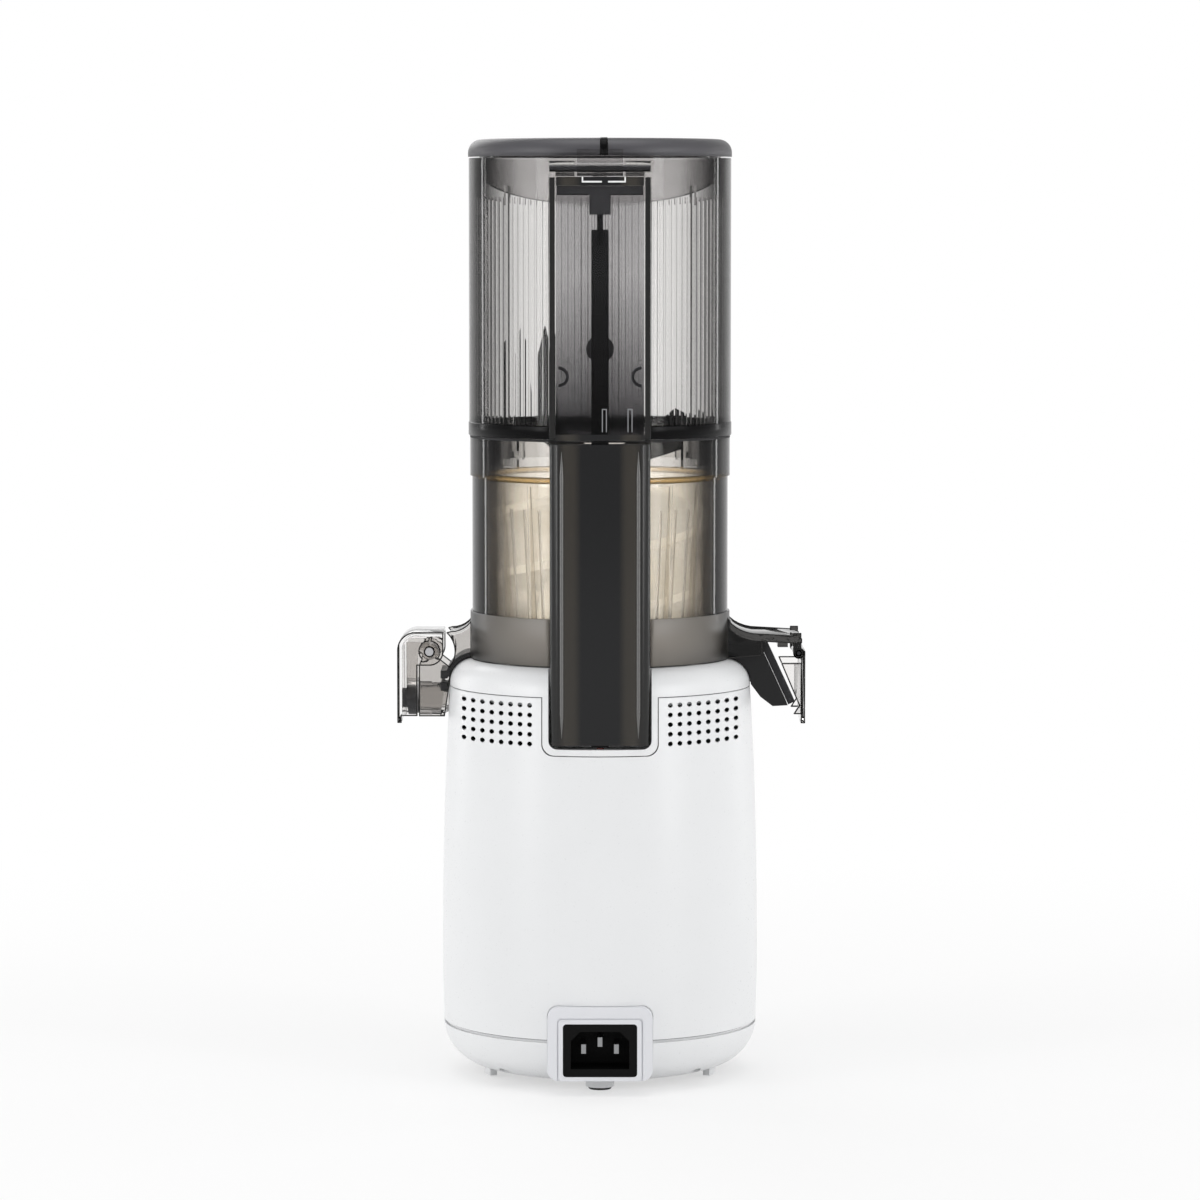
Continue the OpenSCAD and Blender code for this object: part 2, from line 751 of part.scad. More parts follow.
// Outline of the spine from above: flat rear face and rounded long edges
module spine_outline(inset) {
  half = spine_w / 2 - inset;
  r = spine_round;
  square_from(-half, spine_front_y + inset, half, spine_y - r);
  square_from(-half + r, spine_y - r - over, half - r, spine_y - inset);
  for (s = [-1, 1])
    intersection() {
      translate([s * (half - r), spine_y - r]) circle(r);
      translate([-half, spine_front_y]) square([half * 2, spine_y - inset - spine_front_y]);
    }
}
module chamber_spine() {
  color("#2c2e31") difference() {
    translate([0, 0, spine_bottom_z]) linear_extrude(chamber_top - spine_top_gap - spine_bottom_z)
      spine_outline(0);
    translate([0, 0, spine_bottom_z + spine_wall])
      linear_extrude(chamber_top - spine_top_gap - spine_bottom_z - spine_wall * 2)
      square_from(-spine_channel_half, spine_front_y + spine_wall, spine_channel_half, spine_y - spine_wall);
    // Passage of the interlock rod
    translate([-rod_w / 2 - play, rod_y0 - play, spine_bottom_z - over])
      cube([rod_w + play * 2, rod_t + play * 2, base_h]);
    translate([0, 0, base_h - over * 0.3]) cylinder(r = chamber_r + collar_proud + snug, h = chamber_h + over * 2);
  }
}
rod_w = 7.4;
rod_t = 3;
rod_y0 = plunger_y - rod_t / 2;

module chamber_bowl() {
  color("#b9bab6") difference() {
    union() {
      translate([0, 0, base_h]) cylinder(r = chamber_r + band_proud, h = band_h);
      translate([0, 0, base_h]) cylinder(r = chamber_r, h = chamber_h);
      translate([0, 0, collar_z]) cylinder(r = chamber_r + collar_proud, h = collar_h);
    }
    difference() {
      translate([0, 0, base_h + chamber_floor]) cylinder(r = chamber_in_r, h = chamber_h);
      cylinder(r1 = hub_r, r2 = hub_r, h = base_h + hub_h);
    }
    translate([0, 0, base_h - over]) cylinder(r = seal_r, h = chamber_h);
    // Slots that the hopper's lugs drop into
    for (a = lug_at)
      rotate([0, 0, a + lug_turn])
        translate([chamber_in_r - over, -lug_w / 2 - play, chamber_top - neck_h])
          cube([lug_out + over + play, lug_w + play * 2, neck_h + over]);
    // Ways out to the two spouts
    spout_cut(1, juice_w / 2 - clear_wall, base_h + chamber_floor, juice_hole_h);
    spout_cut(-1, pulp_w / 2 - clear_wall, base_h + chamber_floor, pulp_hole_h);
  }
}
juice_hole_h = 9;
pulp_hole_h = 14;
module spout_cut(side, half, low_z, h) {
  translate([side > 0 ? chamber_in_r * 0.7 : -chamber_r - band_proud - over, -spout_forward - half, low_z])
    cube([chamber_r + band_proud + over - chamber_in_r * 0.7, half * 2, h]);
}
module chamber_seal() {
  color("#3a3a3c") translate([0, 0, base_h]) difference() {
    cylinder(r = seal_r, h = hub_h);
    translate([0, 0, -over]) cylinder(r = hex_r + play, h = hub_h + over * 2);
  }
}

// Strainer
strainer_z = base_h + chamber_floor + play;
strainer_top = collar_z + over;
strainer_t = 1.6;
strainer_h = strainer_top - strainer_z;
strainer_rim_h = 4;
slot_w = 0.8;
slot_z_share = 0.12;
slot_h_share = 0.7;
strainer_lean = atan((strainer_rim_r - strainer_foot_r) / strainer_h);
rib_w = 1.4;
rib_out_share = 0.62;
module strainer() {
  gap = chamber_in_r - play - strainer_foot_r - strainer_t;
  mid_r = strainer_foot_r + strainer_t / 2;
  rib_h = strainer_h - strainer_rim_h / 2;
  lean_out = rib_h * tan(strainer_lean);
  color("#c9a968") difference() {
    union() {
      translate([0, 0, strainer_z])
        cylinder(r1 = strainer_foot_r + strainer_t, r2 = strainer_rim_r + strainer_t, h = strainer_h);
      translate([0, 0, strainer_top - strainer_rim_h]) cylinder(r = chamber_in_r - play, h = strainer_rim_h);
      // Tapering ribs that stiffen the cone
      for (a = [0 : 360 / (strainer_slots / 2) : 359])
        rotate([0, 0, a]) translate([0, rib_w / 2, strainer_z]) rotate([90, 0, 0]) linear_extrude(rib_w)
          polygon([[mid_r, 0], [mid_r + strainer_t / 2 + gap * rib_out_share, 0],
            [mid_r + lean_out + strainer_t, rib_h], [mid_r + lean_out, rib_h]]);
      translate([0, 0, strainer_z]) cylinder(r = strainer_foot_r + strainer_t, h = strainer_t);
    }
    translate([0, 0, strainer_z + strainer_t])
      cylinder(r1 = strainer_foot_r + strainer_t * tan(strainer_lean), r2 = strainer_rim_r + over * tan(strainer_lean),
        h = strainer_h - strainer_t + over);
    translate([0, 0, base_h]) cylinder(r = hub_r + play, h = chamber_h);
    for (a = [0 : 360 / strainer_slots : 359])
      rotate([0, 0, a + 180 / strainer_slots])
        translate([strainer_foot_r, -slot_w / 2, strainer_z + strainer_h * slot_z_share])
          rotate([0, strainer_lean, 0]) translate([-over, 0, 0])
            cube([strainer_t + over * 3, slot_w, strainer_h * slot_h_share]);
    // Way out for the pulp at the foot
    translate([-strainer_foot_r - strainer_t - over * 6, -spout_forward - pulp_w * 0.3, strainer_z + strainer_t])
      cube([strainer_t * 2 + over * 6, pulp_w * 0.6, pulp_hole_h * 0.6]);
  }
}

// Auger: a core that grows downwards, with flights that follow the strainer
auger_z = base_h + hub_h + play * 2;
auger_h = strainer_top - auger_z - strainer_rim_h;
auger_foot_h = 6;
auger_core_low = 31;
auger_core_top = 15;
auger_dome = 6;
flight_t_root = 7;
flight_t_tip = 3.4;
flight_steps = 30;
function strainer_in(z) = strainer_foot_r + (strainer_rim_r - strainer_foot_r) * (z - strainer_z) / strainer_h;
function core_at(u) = auger_core_low + (auger_core_top - auger_core_low) * pow(u, 0.8);
flight_z0 = auger_z + flight_t_root / 2;
flight_z1 = auger_z + auger_h - flight_t_root / 2;
// One ring of the flight: root and tip edges, thicker at the root
function flight_ring(i, start) =
  let (u = i / flight_steps, a = start + auger_turns * 360 * u, z = flight_z0 + (flight_z1 - flight_z0) * pow(u, 1.15),
    nose = min(1, (1 - u) * flight_steps / 4, (u * flight_steps + 1) / 2),
    tip = core_at(u) + (strainer_in(z) - auger_gap - core_at(u)) * sqrt(max(0.12, nose)),
    root = core_at(u) - flight_t_root / 2)
  [for (p = [[root, -flight_t_root / 2], [tip, -flight_t_tip / 2], [tip, flight_t_tip / 2], [root, flight_t_root / 2]])
    [p[0] * cos(a), p[0] * sin(a), z + p[1]]];
module flight(start) {
  rings = [for (i = [0 : flight_steps]) flight_ring(i, start)];
  points = [for (r = rings) for (p = r) p];
  faces = concat([[3, 2, 1, 0]], [[for (k = [0 : 3]) flight_steps * 4 + k]],
    [for (i = [0 : flight_steps - 1]) for (k = [0 : 3]) for (half = [0, 1])
      let (a = i * 4 + k, b = i * 4 + (k + 1) % 4)
      half == 0 ? [a, b, b + 4] : [a, b + 4, a + 4]]);
  polyhedron(points = points, faces = faces, convexity = 6);
}
module auger() {
  color("#b7b3a6") difference() {
    union() {
      rotate_extrude() polygon(concat([[0, auger_z], [strainer_foot_r - auger_gap * 2, auger_z],
        [strainer_foot_r - auger_gap * 2, auger_z + auger_foot_h / 3]],
        [for (i = [0 : 6]) [core_at(i / 6), auger_z + auger_foot_h + (auger_h - auger_foot_h) * i / 6]],
        [[auger_core_top * 0.7, auger_z + auger_h + auger_dome * 0.7], [0, auger_z + auger_h + auger_dome]]));
      for (s = [0 : auger_starts - 1])
        flight(s * 360 / auger_starts);
    }
    translate([0, 0, auger_z - over]) cylinder(r = hex_r + play, h = drive_rise - hub_h + play + over, $fn = 6);
  }
}
// Feeding blades on the auger's head, one tall and one low
blade_t = 3;
blade_tall = 62;
blade_low = 26;
blade_reach = 27;
blade_low_reach = 38;
module feed_blade() {
  base_z = auger_z + auger_h + auger_dome;
  color("#34363a") union() {
    translate([0, 0, base_z]) cylinder(r1 = auger_core_top * 0.8, r2 = auger_core_top * 0.5, h = auger_dome);
    translate([0, blade_t / 2, base_z]) rotate([90, 0, 0]) linear_extrude(blade_t) {
      polygon([[0, 0], [blade_reach * 0.4, 0], [blade_reach, auger_dome * 2.2], [blade_reach, blade_tall * 0.8],
        [blade_reach - blade_t, blade_tall], [blade_reach - blade_t * 2.2, blade_tall * 0.8],
        [blade_reach - blade_t * 3, auger_dome * 3], [0, auger_dome]]);
      polygon([[0, 0], [0, auger_dome], [-blade_low_reach * 0.5, auger_dome * 2.4], [-blade_low_reach * 0.86, blade_low],
        [-blade_low_reach, blade_low * 0.9], [-blade_low_reach * 0.96, auger_dome * 1.4], [-blade_reach * 0.4, 0]]);
    }
  }
}

// Juice spout on the +X side
wall_x = chamber_r + band_proud;
juice_run = juice_reach - wall_x;
juice_pin_share = 0.562;
nozzle_share = 0.565;
juice_pin_x = wall_x + juice_run * juice_pin_share;
juice_pin_z = base_h + 2.9;
juice_pin_r = 1.75;
nozzle_r = 7.2;
nozzle_lift = 3;
nozzle_z = base_h - cap_drop + nozzle_r + nozzle_lift;
nozzle_x = wall_x + juice_run * nozzle_share;
nozzle_t = 1.8;
flange_t = 4.6;
disc_gap = 0.5;
disc_t = 5;
cap_wall = 2;
web_t = 1.6;
tail_r = 8.6;
tail_back = 6.2;
sweep_gap = 0.6;
sweep_r = norm([tail_back, tail_r]) + sweep_gap;
sweep_from_deg = 100;
sweep_to_deg = 218;
gutter_t = 1.8;
boss_r = 4.6;
canopy_t = 1.8;
canopy_steps = 8;
// Hollow sweep of a canopy from the chamber's wall, steep at first, down to its lip
function sweep_pt(u, x0, z0, x1, z1) = [x0 + (x1 - x0) * (1 - cos(u * 90)), z0 + (z1 - z0) * sin(u * 90)];
function canopy_line(x0, z0, x1, z1, drop) = [for (i = [0 : canopy_steps])
  let (p = sweep_pt(i / canopy_steps, x0, z0, x1, z1)) [p[0], p[1] - drop]];
function back_to_front(v) = [for (i = [len(v) - 1 : -1 : 0]) v[i]];
module side_plate(centre_y, t) {
  translate([0, centre_y + t / 2, 0]) rotate([90, 0, 0]) linear_extrude(t) children();
}
spout_top_z = base_h + band_h;
juice_lip_x = juice_pin_x - tail_back - tail_r * 0.35;
juice_lip_z = juice_pin_z + tail_r;
tube_start_x = wall_x + (nozzle_x - wall_x) * 0.62;
// Space that the tail of the cap sweeps as the cap opens
module tail_sweep() {
  translate([juice_pin_x, juice_pin_z]) intersection() {
    circle(sweep_r);
    polygon([[0, 0], for (a = [sweep_from_deg, (sweep_from_deg + sweep_to_deg) / 2, sweep_to_deg]) [cos(a), sin(a)] * sweep_r * 2]);
  }
}
module juice_spout() {
  half = juice_w / 2;
  face_x = nozzle_x + flange_t - play;
  color("#c4c6c4") difference() {
    union() {
      // Canopy
      side_plate(-spout_forward, juice_w)
        polygon(concat(canopy_line(wall_x - web_t, spout_top_z, juice_lip_x, juice_lip_z, 0),
          back_to_front(canopy_line(wall_x - web_t, spout_top_z, juice_lip_x, juice_lip_z, canopy_t))));
      // Clear cheeks with the eyes of the pin
      for (s = [-1, 1])
        side_plate(-spout_forward + s * (half - web_t / 2), web_t) {
          difference() {
            polygon(concat(canopy_line(wall_x - web_t, spout_top_z, juice_lip_x, juice_lip_z, 0),
              [[juice_pin_x, juice_lip_z - cap_wall - play * 2], [face_x - boss_r * 0.4, juice_pin_z - tail_r * 0.2],
                [face_x, juice_pin_z - tail_r * 0.7], [face_x, nozzle_z - nozzle_r],
                [tube_start_x, nozzle_z - nozzle_r], [wall_x - web_t, base_h - shoulder_round]]));
            tail_sweep();
          }
          translate([juice_pin_x, juice_pin_z]) circle(boss_r);
        }
      // Gutter that follows the shoulder down to the nozzle
      intersection() {
        shoulder_clear(gutter_t);
        translate([wall_x - web_t, -spout_forward - half, nozzle_z - nozzle_r])
          cube([juice_run * 0.62, juice_w, base_h + play + gutter_t - nozzle_z + nozzle_r]);
      }
      translate([nozzle_x - over, -spout_forward, nozzle_z]) rotate([0, 90, 0])
        cylinder(r = nozzle_r, h = flange_t + over - play);
      translate([tube_start_x - nozzle_t, -spout_forward, nozzle_z]) rotate([0, 90, 0])
        cylinder(r = nozzle_r - nozzle_t * 0.4, h = nozzle_x - tube_start_x + nozzle_t);
    }
    translate([0, 0, base_h - over]) cylinder(r = wall_x + snug, h = chamber_h);
    translate([tube_start_x - over, -spout_forward, nozzle_z]) rotate([0, 90, 0]) cylinder(r = nozzle_r - nozzle_t, h = juice_reach);
    translate([juice_pin_x, juice_w, juice_pin_z]) rotate([90, 0, 0]) cylinder(r = juice_pin_r + run_play, h = juice_w * 3);
    shoulder_clear(0);
  }
}
// Space kept free round the shoulder of the base, and a layer more
module shoulder_clear(layer) {
  clear_r = neck_r + play * 2 + layer;
  translate([0, 0, base_h - cap_drop - over * 4])
    cylinder(r1 = base_r + play + layer, r2 = clear_r, h = cap_drop - cover_drop + over * 4);
  translate([0, 0, base_h - cover_drop - over]) cylinder(r = clear_r, h = cover_drop - shoulder_round + over);
  translate([0, 0, base_h - shoulder_round]) rotate_extrude() {
    intersection() {
      translate([deck_r, 0]) circle(shoulder_round + play * 2 + layer);
      square_from(deck_r, 0, clear_r + over, shoulder_round + play * 2 + layer);
    }
    square_from(0, 0, deck_r, shoulder_round + layer);
  }
}
module nozzle_seal() {
  color("#26272a") translate([nozzle_x + flange_t - play, -spout_forward, nozzle_z]) rotate([0, 90, 0])
    difference() {
      cylinder(r = nozzle_r, h = play);
      translate([0, 0, -over]) cylinder(r = nozzle_r - nozzle_t, h = play + over * 2);
    }
}

module juice_cap_pin() {
  color("silver") translate([juice_pin_x, -spout_forward + juice_w / 2 + cap_wall + play * 2, juice_pin_z])
    rotate([90, 0, 0]) cylinder(r = juice_pin_r, h = juice_w + (cap_wall + play * 2) * 2);
}
cap_bottom_z = base_h - cap_drop;
cap_round = 8;
// Side outline of the juice cap: hood above, rounded tail behind the pin, cheeks down past the disc
module juice_cap_outline(inset) {
  top_z = juice_pin_z + tail_r;
  square_from(juice_pin_x - tail_back, juice_pin_z, juice_reach - cap_round, top_z - inset);
  translate([juice_pin_x, juice_pin_z]) circle(tail_back);
  square_from(juice_pin_x, juice_pin_z - tail_back, juice_reach - inset, top_z - cap_round);
  square_from(nozzle_x + flange_t + disc_gap, cap_bottom_z + disc_t * 0.6, juice_reach - inset, top_z - cap_round);
  intersection() {
    translate([juice_reach - cap_round, top_z - cap_round]) circle(cap_round - inset);
    square_from(juice_reach - cap_round, top_z - cap_round, juice_reach, top_z);
  }
}
module juice_cap() {
  half = juice_w / 2 + play + web_t;
  color("#cfd1cf") difference() {
    union() {
      difference() {
        side_plate(-spout_forward, half * 2) juice_cap_outline(0);
        side_plate(-spout_forward, (half - web_t) * 2) {
          juice_cap_outline(cap_wall);
          square_from(0, 0, juice_pin_x, juice_pin_z + tail_r - cap_wall);
          square_from(0, 0, juice_reach - cap_wall, juice_pin_z);
        }
      }
      // Finger lip
      translate([juice_reach - cap_wall, -spout_forward - half, cap_bottom_z]) cube([cap_wall, half * 2, cap_round]);
    }
    translate([juice_pin_x, juice_w, juice_pin_z]) rotate([90, 0, 0]) cylinder(r = juice_pin_r + run_play, h = juice_w * 3);
  }
}
module juice_cap_lever() {
  half = juice_w / 2 - web_t - play * 2;
  color("#8d8f92") difference() {
    side_plate(-spout_forward, half * 2) {
      translate([juice_pin_x, juice_pin_z]) circle(boss_r * 0.85);
      square_from(juice_pin_x, juice_pin_z - boss_r * 0.3, juice_pin_x + tail_r, juice_pin_z + boss_r * 0.85);
      square_from(nozzle_x + flange_t + disc_gap, nozzle_z, nozzle_x + flange_t + disc_gap + disc_t,
        juice_pin_z + boss_r * 0.85);
    }
    side_plate(-spout_forward, (half - web_t) * 2)
      square_from(juice_pin_x - boss_r - over, nozzle_z + nozzle_r + disc_gap, juice_reach, juice_pin_z + boss_r + over);
    translate([juice_pin_x, juice_w, juice_pin_z]) rotate([90, 0, 0]) cylinder(r = juice_pin_r + run_play, h = juice_w * 3);
    translate([0, -spout_forward, nozzle_z]) rotate([0, 90, 0]) cylinder(r = nozzle_r + snug, h = juice_reach + over);
  }
}
module juice_cap_disc() {
  disc_x = nozzle_x + flange_t + disc_gap;
  color("#2d2e31") translate([disc_x, -spout_forward, nozzle_z]) rotate([0, 90, 0]) union() {
    cylinder(r = nozzle_r, h = disc_t);
    cylinder(r = nozzle_r * 0.6, h = juice_reach - cap_wall - disc_x);
  }
}

// Pulp spout on the -X side
pulp_run = pulp_reach - wall_x;
pulp_pin_x = pulp_reach - 3;
pulp_pin_z = base_h + 2.6;
pulp_pin_r = 1;
pulp_barrel_r = 2.2;
flap_top_share = 0.425;
flap_low_share = 0.78;
flap_top_x = wall_x + pulp_run * flap_top_share;
flap_top_z = base_h + 5;
flap_low_x = wall_x + pulp_run * flap_low_share;
flap_low_z = base_h - cap_drop * 0.72;
flap_t = 3.2;
flap_pin_r = 1.2;
duct_t = 1.8;
pulp_lip_z = base_h + 10.6;
pulp_sweep_share = 0.4;
pulp_canopy_t = 3;
lip_drop = 3.4;
pulp_latch_w = 4.4;
pulp_latch_h = 3.2;
module pulp_side(y, t) {
  mirror([1, 0, 0]) side_plate(y, t) children();
}
// The flap hangs from its pin along the duct's slanted mouth
flap_run = [flap_low_x - flap_top_x, flap_low_z - flap_top_z];
flap_len = norm(flap_run);
flap_dir = flap_run / flap_len;
flap_out = [-flap_dir[1], flap_dir[0]];
module pulp_duct() {
  half = pulp_w / 2 - web_t - play;
  color("#1d1e20") difference() {
    union() {
      difference() {
        pulp_side(-spout_forward, half * 2) duct_outline(0);
        pulp_side(-spout_forward, (half - duct_t) * 2) duct_outline(duct_t);
      }
      // Eyes of the flap's pin
      for (s = [-1, 1])
        pulp_side(-spout_forward + s * (half - duct_t / 2), duct_t)
          translate([flap_top_x, flap_top_z]) circle(flap_pin_r + duct_t * 0.7);
    }
    // Room for the flap's knuckle
    pulp_side(-spout_forward, (half - duct_t) * 2) translate([flap_top_x, flap_top_z]) circle(flap_pin_r + play * 3);
    cylinder(r = wall_x + snug, h = base_h * 2);
    mirror([1, 0, 0]) shoulder_clear(0);
    translate([-flap_top_x, half + over, flap_top_z]) rotate([90, 0, 0])
      cylinder(r = flap_pin_r + run_play, h = (half + over) * 2 + over * 20);
  }
}
// The duct seen from the side: it runs down past the shoulder to a slanted mouth
module duct_outline(inset) {
  open = inset > 0 ? over : 0;
  mouth = [flap_top_x, flap_top_z] - flap_out * play + flap_out * open;
  foot = mouth + flap_dir * (flap_len - inset);
  polygon([[wall_x - web_t - open, base_h + play + inset], [wall_x - web_t - open, mouth[1] + flap_pin_r - inset],
    [mouth[0] - flap_pin_r, mouth[1] + flap_pin_r - inset], mouth, foot,
    [foot[0] - pulp_run * 0.2, foot[1] - duct_t * 0.2],
    [foot[0] - pulp_run * 0.36, foot[1] + cap_drop * 0.13], [neck_r + play + inset, base_h - cap_drop * 0.4]]);
}
module pulp_flap() {
  half = pulp_w / 2 - web_t - play * 2;
  inner = half - duct_t - play;
  color("#141415") union() {
    pulp_side(-spout_forward, half * 2) translate([flap_top_x, flap_top_z]) circle(flap_pin_r);
    pulp_side(-spout_forward, inner * 2) translate([flap_top_x, flap_top_z]) {
      circle(flap_pin_r + play * 2);
      polygon([[0, 0], flap_run, flap_run + flap_out * flap_t, flap_out * flap_t]);
    }
  }
}
// Canopy seen from the side: a hollow sweep, then nearly level to a rounded lip
function pulp_line(drop) = concat(
  canopy_line(wall_x - web_t, spout_top_z, wall_x + pulp_run * pulp_sweep_share, pulp_lip_z + play, drop),
  [[pulp_reach - canopy_t * 2, pulp_lip_z - play * 2 - drop]]);
module pulp_canopy() {
  half = pulp_w / 2 + web_t;
  lip_x = pulp_reach - canopy_t;
  color("#a9abad") difference() {
    union() {
      pulp_side(-spout_forward, half * 2) {
        polygon(concat(pulp_line(0), [[lip_x, pulp_lip_z - canopy_t], [lip_x, pulp_lip_z - lip_drop],
          [lip_x - canopy_t, pulp_lip_z - pulp_canopy_t]], back_to_front(pulp_line(pulp_canopy_t))));
      }
      // Ears that carry the cap's pin
      for (s = [-1, 1])
        pulp_side(-spout_forward + s * (half - web_t / 2), web_t) {
          translate([pulp_pin_x, pulp_pin_z]) circle(pulp_barrel_r);
          square_from(pulp_pin_x - pulp_barrel_r, pulp_pin_z, pulp_pin_x + pulp_barrel_r * 0.4, pulp_lip_z - lip_drop + over * 4);
        }
      // Latch block under the canopy
      pulp_side(-spout_forward, half)
        square_from(pulp_pin_x - pulp_barrel_r * 2 - pulp_latch_w, pulp_lip_z - pulp_canopy_t - pulp_latch_h,
          pulp_pin_x - pulp_barrel_r * 2, pulp_lip_z - canopy_t);
      // Side webs down to the duct
      for (s = [-1, 1])
        pulp_side(-spout_forward + s * (half - web_t / 2), web_t)
          polygon(concat(canopy_line(wall_x - web_t, spout_top_z, flap_top_x, pulp_lip_z, 0),
            [[flap_top_x, flap_top_z - flap_t], [wall_x - web_t, base_h + play]]));
    }
    cylinder(r = wall_x + snug, h = base_h * 2);
    mirror([1, 0, 0]) shoulder_clear(0);
    translate([-pulp_pin_x, pulp_w, pulp_pin_z]) rotate([90, 0, 0]) cylinder(r = pulp_pin_r + run_play, h = pulp_w * 3);
  }
}
module pulp_cap_pin() {
  half = pulp_w / 2 + web_t;
  color("silver") translate([-pulp_pin_x, -spout_forward + half, pulp_pin_z]) rotate([90, 0, 0])
    cylinder(r = pulp_pin_r, h = half * 2);
}
pulp_wall_t = 2;
module pulp_cap() {
  half = pulp_w / 2 - play;
  cheek_top_z = pulp_pin_z - pulp_barrel_r * 2;
  cheek_low_z = cap_bottom_z + pulp_wall_t * 2;
  color("#cfd1cf") difference() {
    union() {
      translate([-pulp_pin_x, -spout_forward + half, pulp_pin_z]) rotate([90, 0, 0]) cylinder(r = pulp_barrel_r, h = half * 2);
      pulp_side(-spout_forward, half * 2) {
        square_from(pulp_reach - pulp_wall_t, cap_bottom_z, pulp_reach, pulp_pin_z);
        square_from(pulp_pin_x, pulp_pin_z - pulp_barrel_r, pulp_reach, pulp_pin_z + pulp_barrel_r * 0.4);
      }
      // Clear cheeks and floor that catch the pulp below the flap
      for (s = [-1, 1])
        pulp_side(-spout_forward + s * (half - web_t / 2), web_t)
          polygon([[flap_top_x + flap_t * 2.6, cheek_top_z], [pulp_reach - over, cheek_top_z],
            [pulp_reach - over, cheek_low_z], [flap_low_x + flap_t * 0.6, cheek_low_z], [flap_low_x + flap_t * 1.4, flap_low_z]]);
    }
    translate([-pulp_pin_x, pulp_w, pulp_pin_z]) rotate([90, 0, 0]) cylinder(r = pulp_pin_r + run_play, h = pulp_w * 3);
  }
}

// Hopper
hopper_z = chamber_top + 1;
hopper_top = hopper_z + hopper_h;
hopper_in_r = hopper_r - clear_wall;
hopper_floor = 3;
flute_h = 0.6;
flute_low = 4;
flute_high = 17;
guide_w = 2.5;
guide_out = 1.5;
guide_deg = 46.7;
pocket_half = spine_w / 2 - wall;
pocket_front_y = hopper_r + play;
cover_t = 1.8;
function flute_points(n) = [for (i = [0 : n - 1]) for (k = [0 : 3])
  let (a = (i + [0.1, 0.25, 0.75, 0.9][k]) * 360 / n, r = hopper_in_r + over * 0.4 - (k == 1 || k == 2 ? flute_h + over * 0.4 : 0))
  [r * cos(a), r * sin(a)]];
hinge_y = spine_y - 3.8;
hinge_z = hopper_top - hinge_drop;
knuckle_r = 3.2;
hinge_pin_r = 1.4;
ear_w = 10.6;
centre_knuckle_half = 9.8;
module hopper() {
  color("#b3b5b5") difference() {
    union() {
      // Wall
      difference() {
        translate([0, 0, hopper_z]) cylinder(r = hopper_r, h = hopper_h);
        translate([0, 0, hopper_z + hopper_floor]) cylinder(r = hopper_in_r, h = hopper_h);
        translate([0, 0, hopper_z - over]) cylinder(r = strainer_rim_r, h = hopper_h);
      }
      // Flutes inside the wall
      translate([0, 0, hopper_z + flute_low]) linear_extrude(hopper_h - flute_low - flute_high) difference() {
        circle(hopper_in_r + over / 2);
        polygon(flute_points(flutes));
      }
      for (s = [-1, 1])
        rotate([0, 0, 90 + s * guide_deg]) translate([hopper_in_r - guide_out, -guide_w / 2, hopper_z])
          cube([guide_out + over / 2, guide_w, hopper_h - flute_high + guide_w * 2]);
      // Neck inside the chamber's collar, with its lugs
      translate([0, 0, chamber_top - neck_h + over]) difference() {
        union() {
          cylinder(r = chamber_in_r - neck_gap, h = neck_h + over);
          for (a = lug_at)
            rotate([0, 0, a + lug_turn]) translate([chamber_in_r - neck_t, -lug_w / 2, 0]) cube([neck_t + lug_out * 0.6, lug_w, lug_h]);
        }
        translate([0, 0, -over]) cylinder(r = chamber_in_r - neck_gap - neck_t, h = neck_h + over * 3);
      }
      // Spine: two side walls, a foot and the ears of the hinge
      for (s = [-1, 1])
        translate([s > 0 ? pocket_half : -spine_w / 2, hopper_in_r * 0.9, hopper_z])
          cube([spine_w / 2 - pocket_half, spine_y - hopper_in_r * 0.9, hopper_h - hinge_drop]);
      translate([-spine_w / 2, hopper_in_r * 0.9, hopper_z]) cube([spine_w, spine_y - hopper_in_r * 0.9, wall]);
      for (s = [-1, 1])
        translate([s > 0 ? spine_w / 2 - ear_w : -spine_w / 2, hinge_y, hinge_z]) rotate([0, 90, 0]) {
          cylinder(r = knuckle_r, h = ear_w);
          translate([0, -(hinge_y - hopper_in_r), 0]) cube([knuckle_r, hinge_y - hopper_in_r, ear_w]);
        }
    }
    difference() {
      translate([0, 0, hopper_z + hopper_floor]) cylinder(r = hopper_in_r - guide_out - over * 0.2, h = hopper_h);
    }
    translate([-spine_w, hinge_y, hinge_z]) rotate([0, 90, 0]) cylinder(r = hinge_pin_r + run_play, h = spine_w * 2);
    // Passage of the interlock rod through the foot
    translate([-rod_w / 2 - play, rod_y0 - play, hopper_z - over]) cube([rod_w + play * 2, rod_t + play * 2, wall + over * 2]);
    // Room for the lid's arm and its lug
    translate([-centre_knuckle_half - play, hopper_in_r - over * 2, hopper_top - lid_notch]) cube([(centre_knuckle_half + play) * 2, knuckle_r * 4, hopper_h]);
  }
}
lid_notch = 12.6;
module hopper_spine_cover() {
  low = hopper_z + wall + snug;
  color("#55585b") difference() {
    translate([-pocket_half + snug, spine_y - cover_t, low])
      cube([(pocket_half - snug) * 2, cover_t, hopper_top - lid_notch - low]);
  }
}
module hinge_pin() {
  color("silver") translate([-spine_w / 2, hinge_y, hinge_z]) rotate([0, 90, 0]) cylinder(r = hinge_pin_r, h = spine_w);
}
module hopper_gasket() {
  color("#151517") translate([0, 0, chamber_top]) difference() {
    cylinder(r = chamber_r + collar_proud, h = hopper_z - chamber_top);
    translate([0, 0, -over]) cylinder(r = chamber_in_r - neck_gap + snug, h = hopper_h);
  }
}

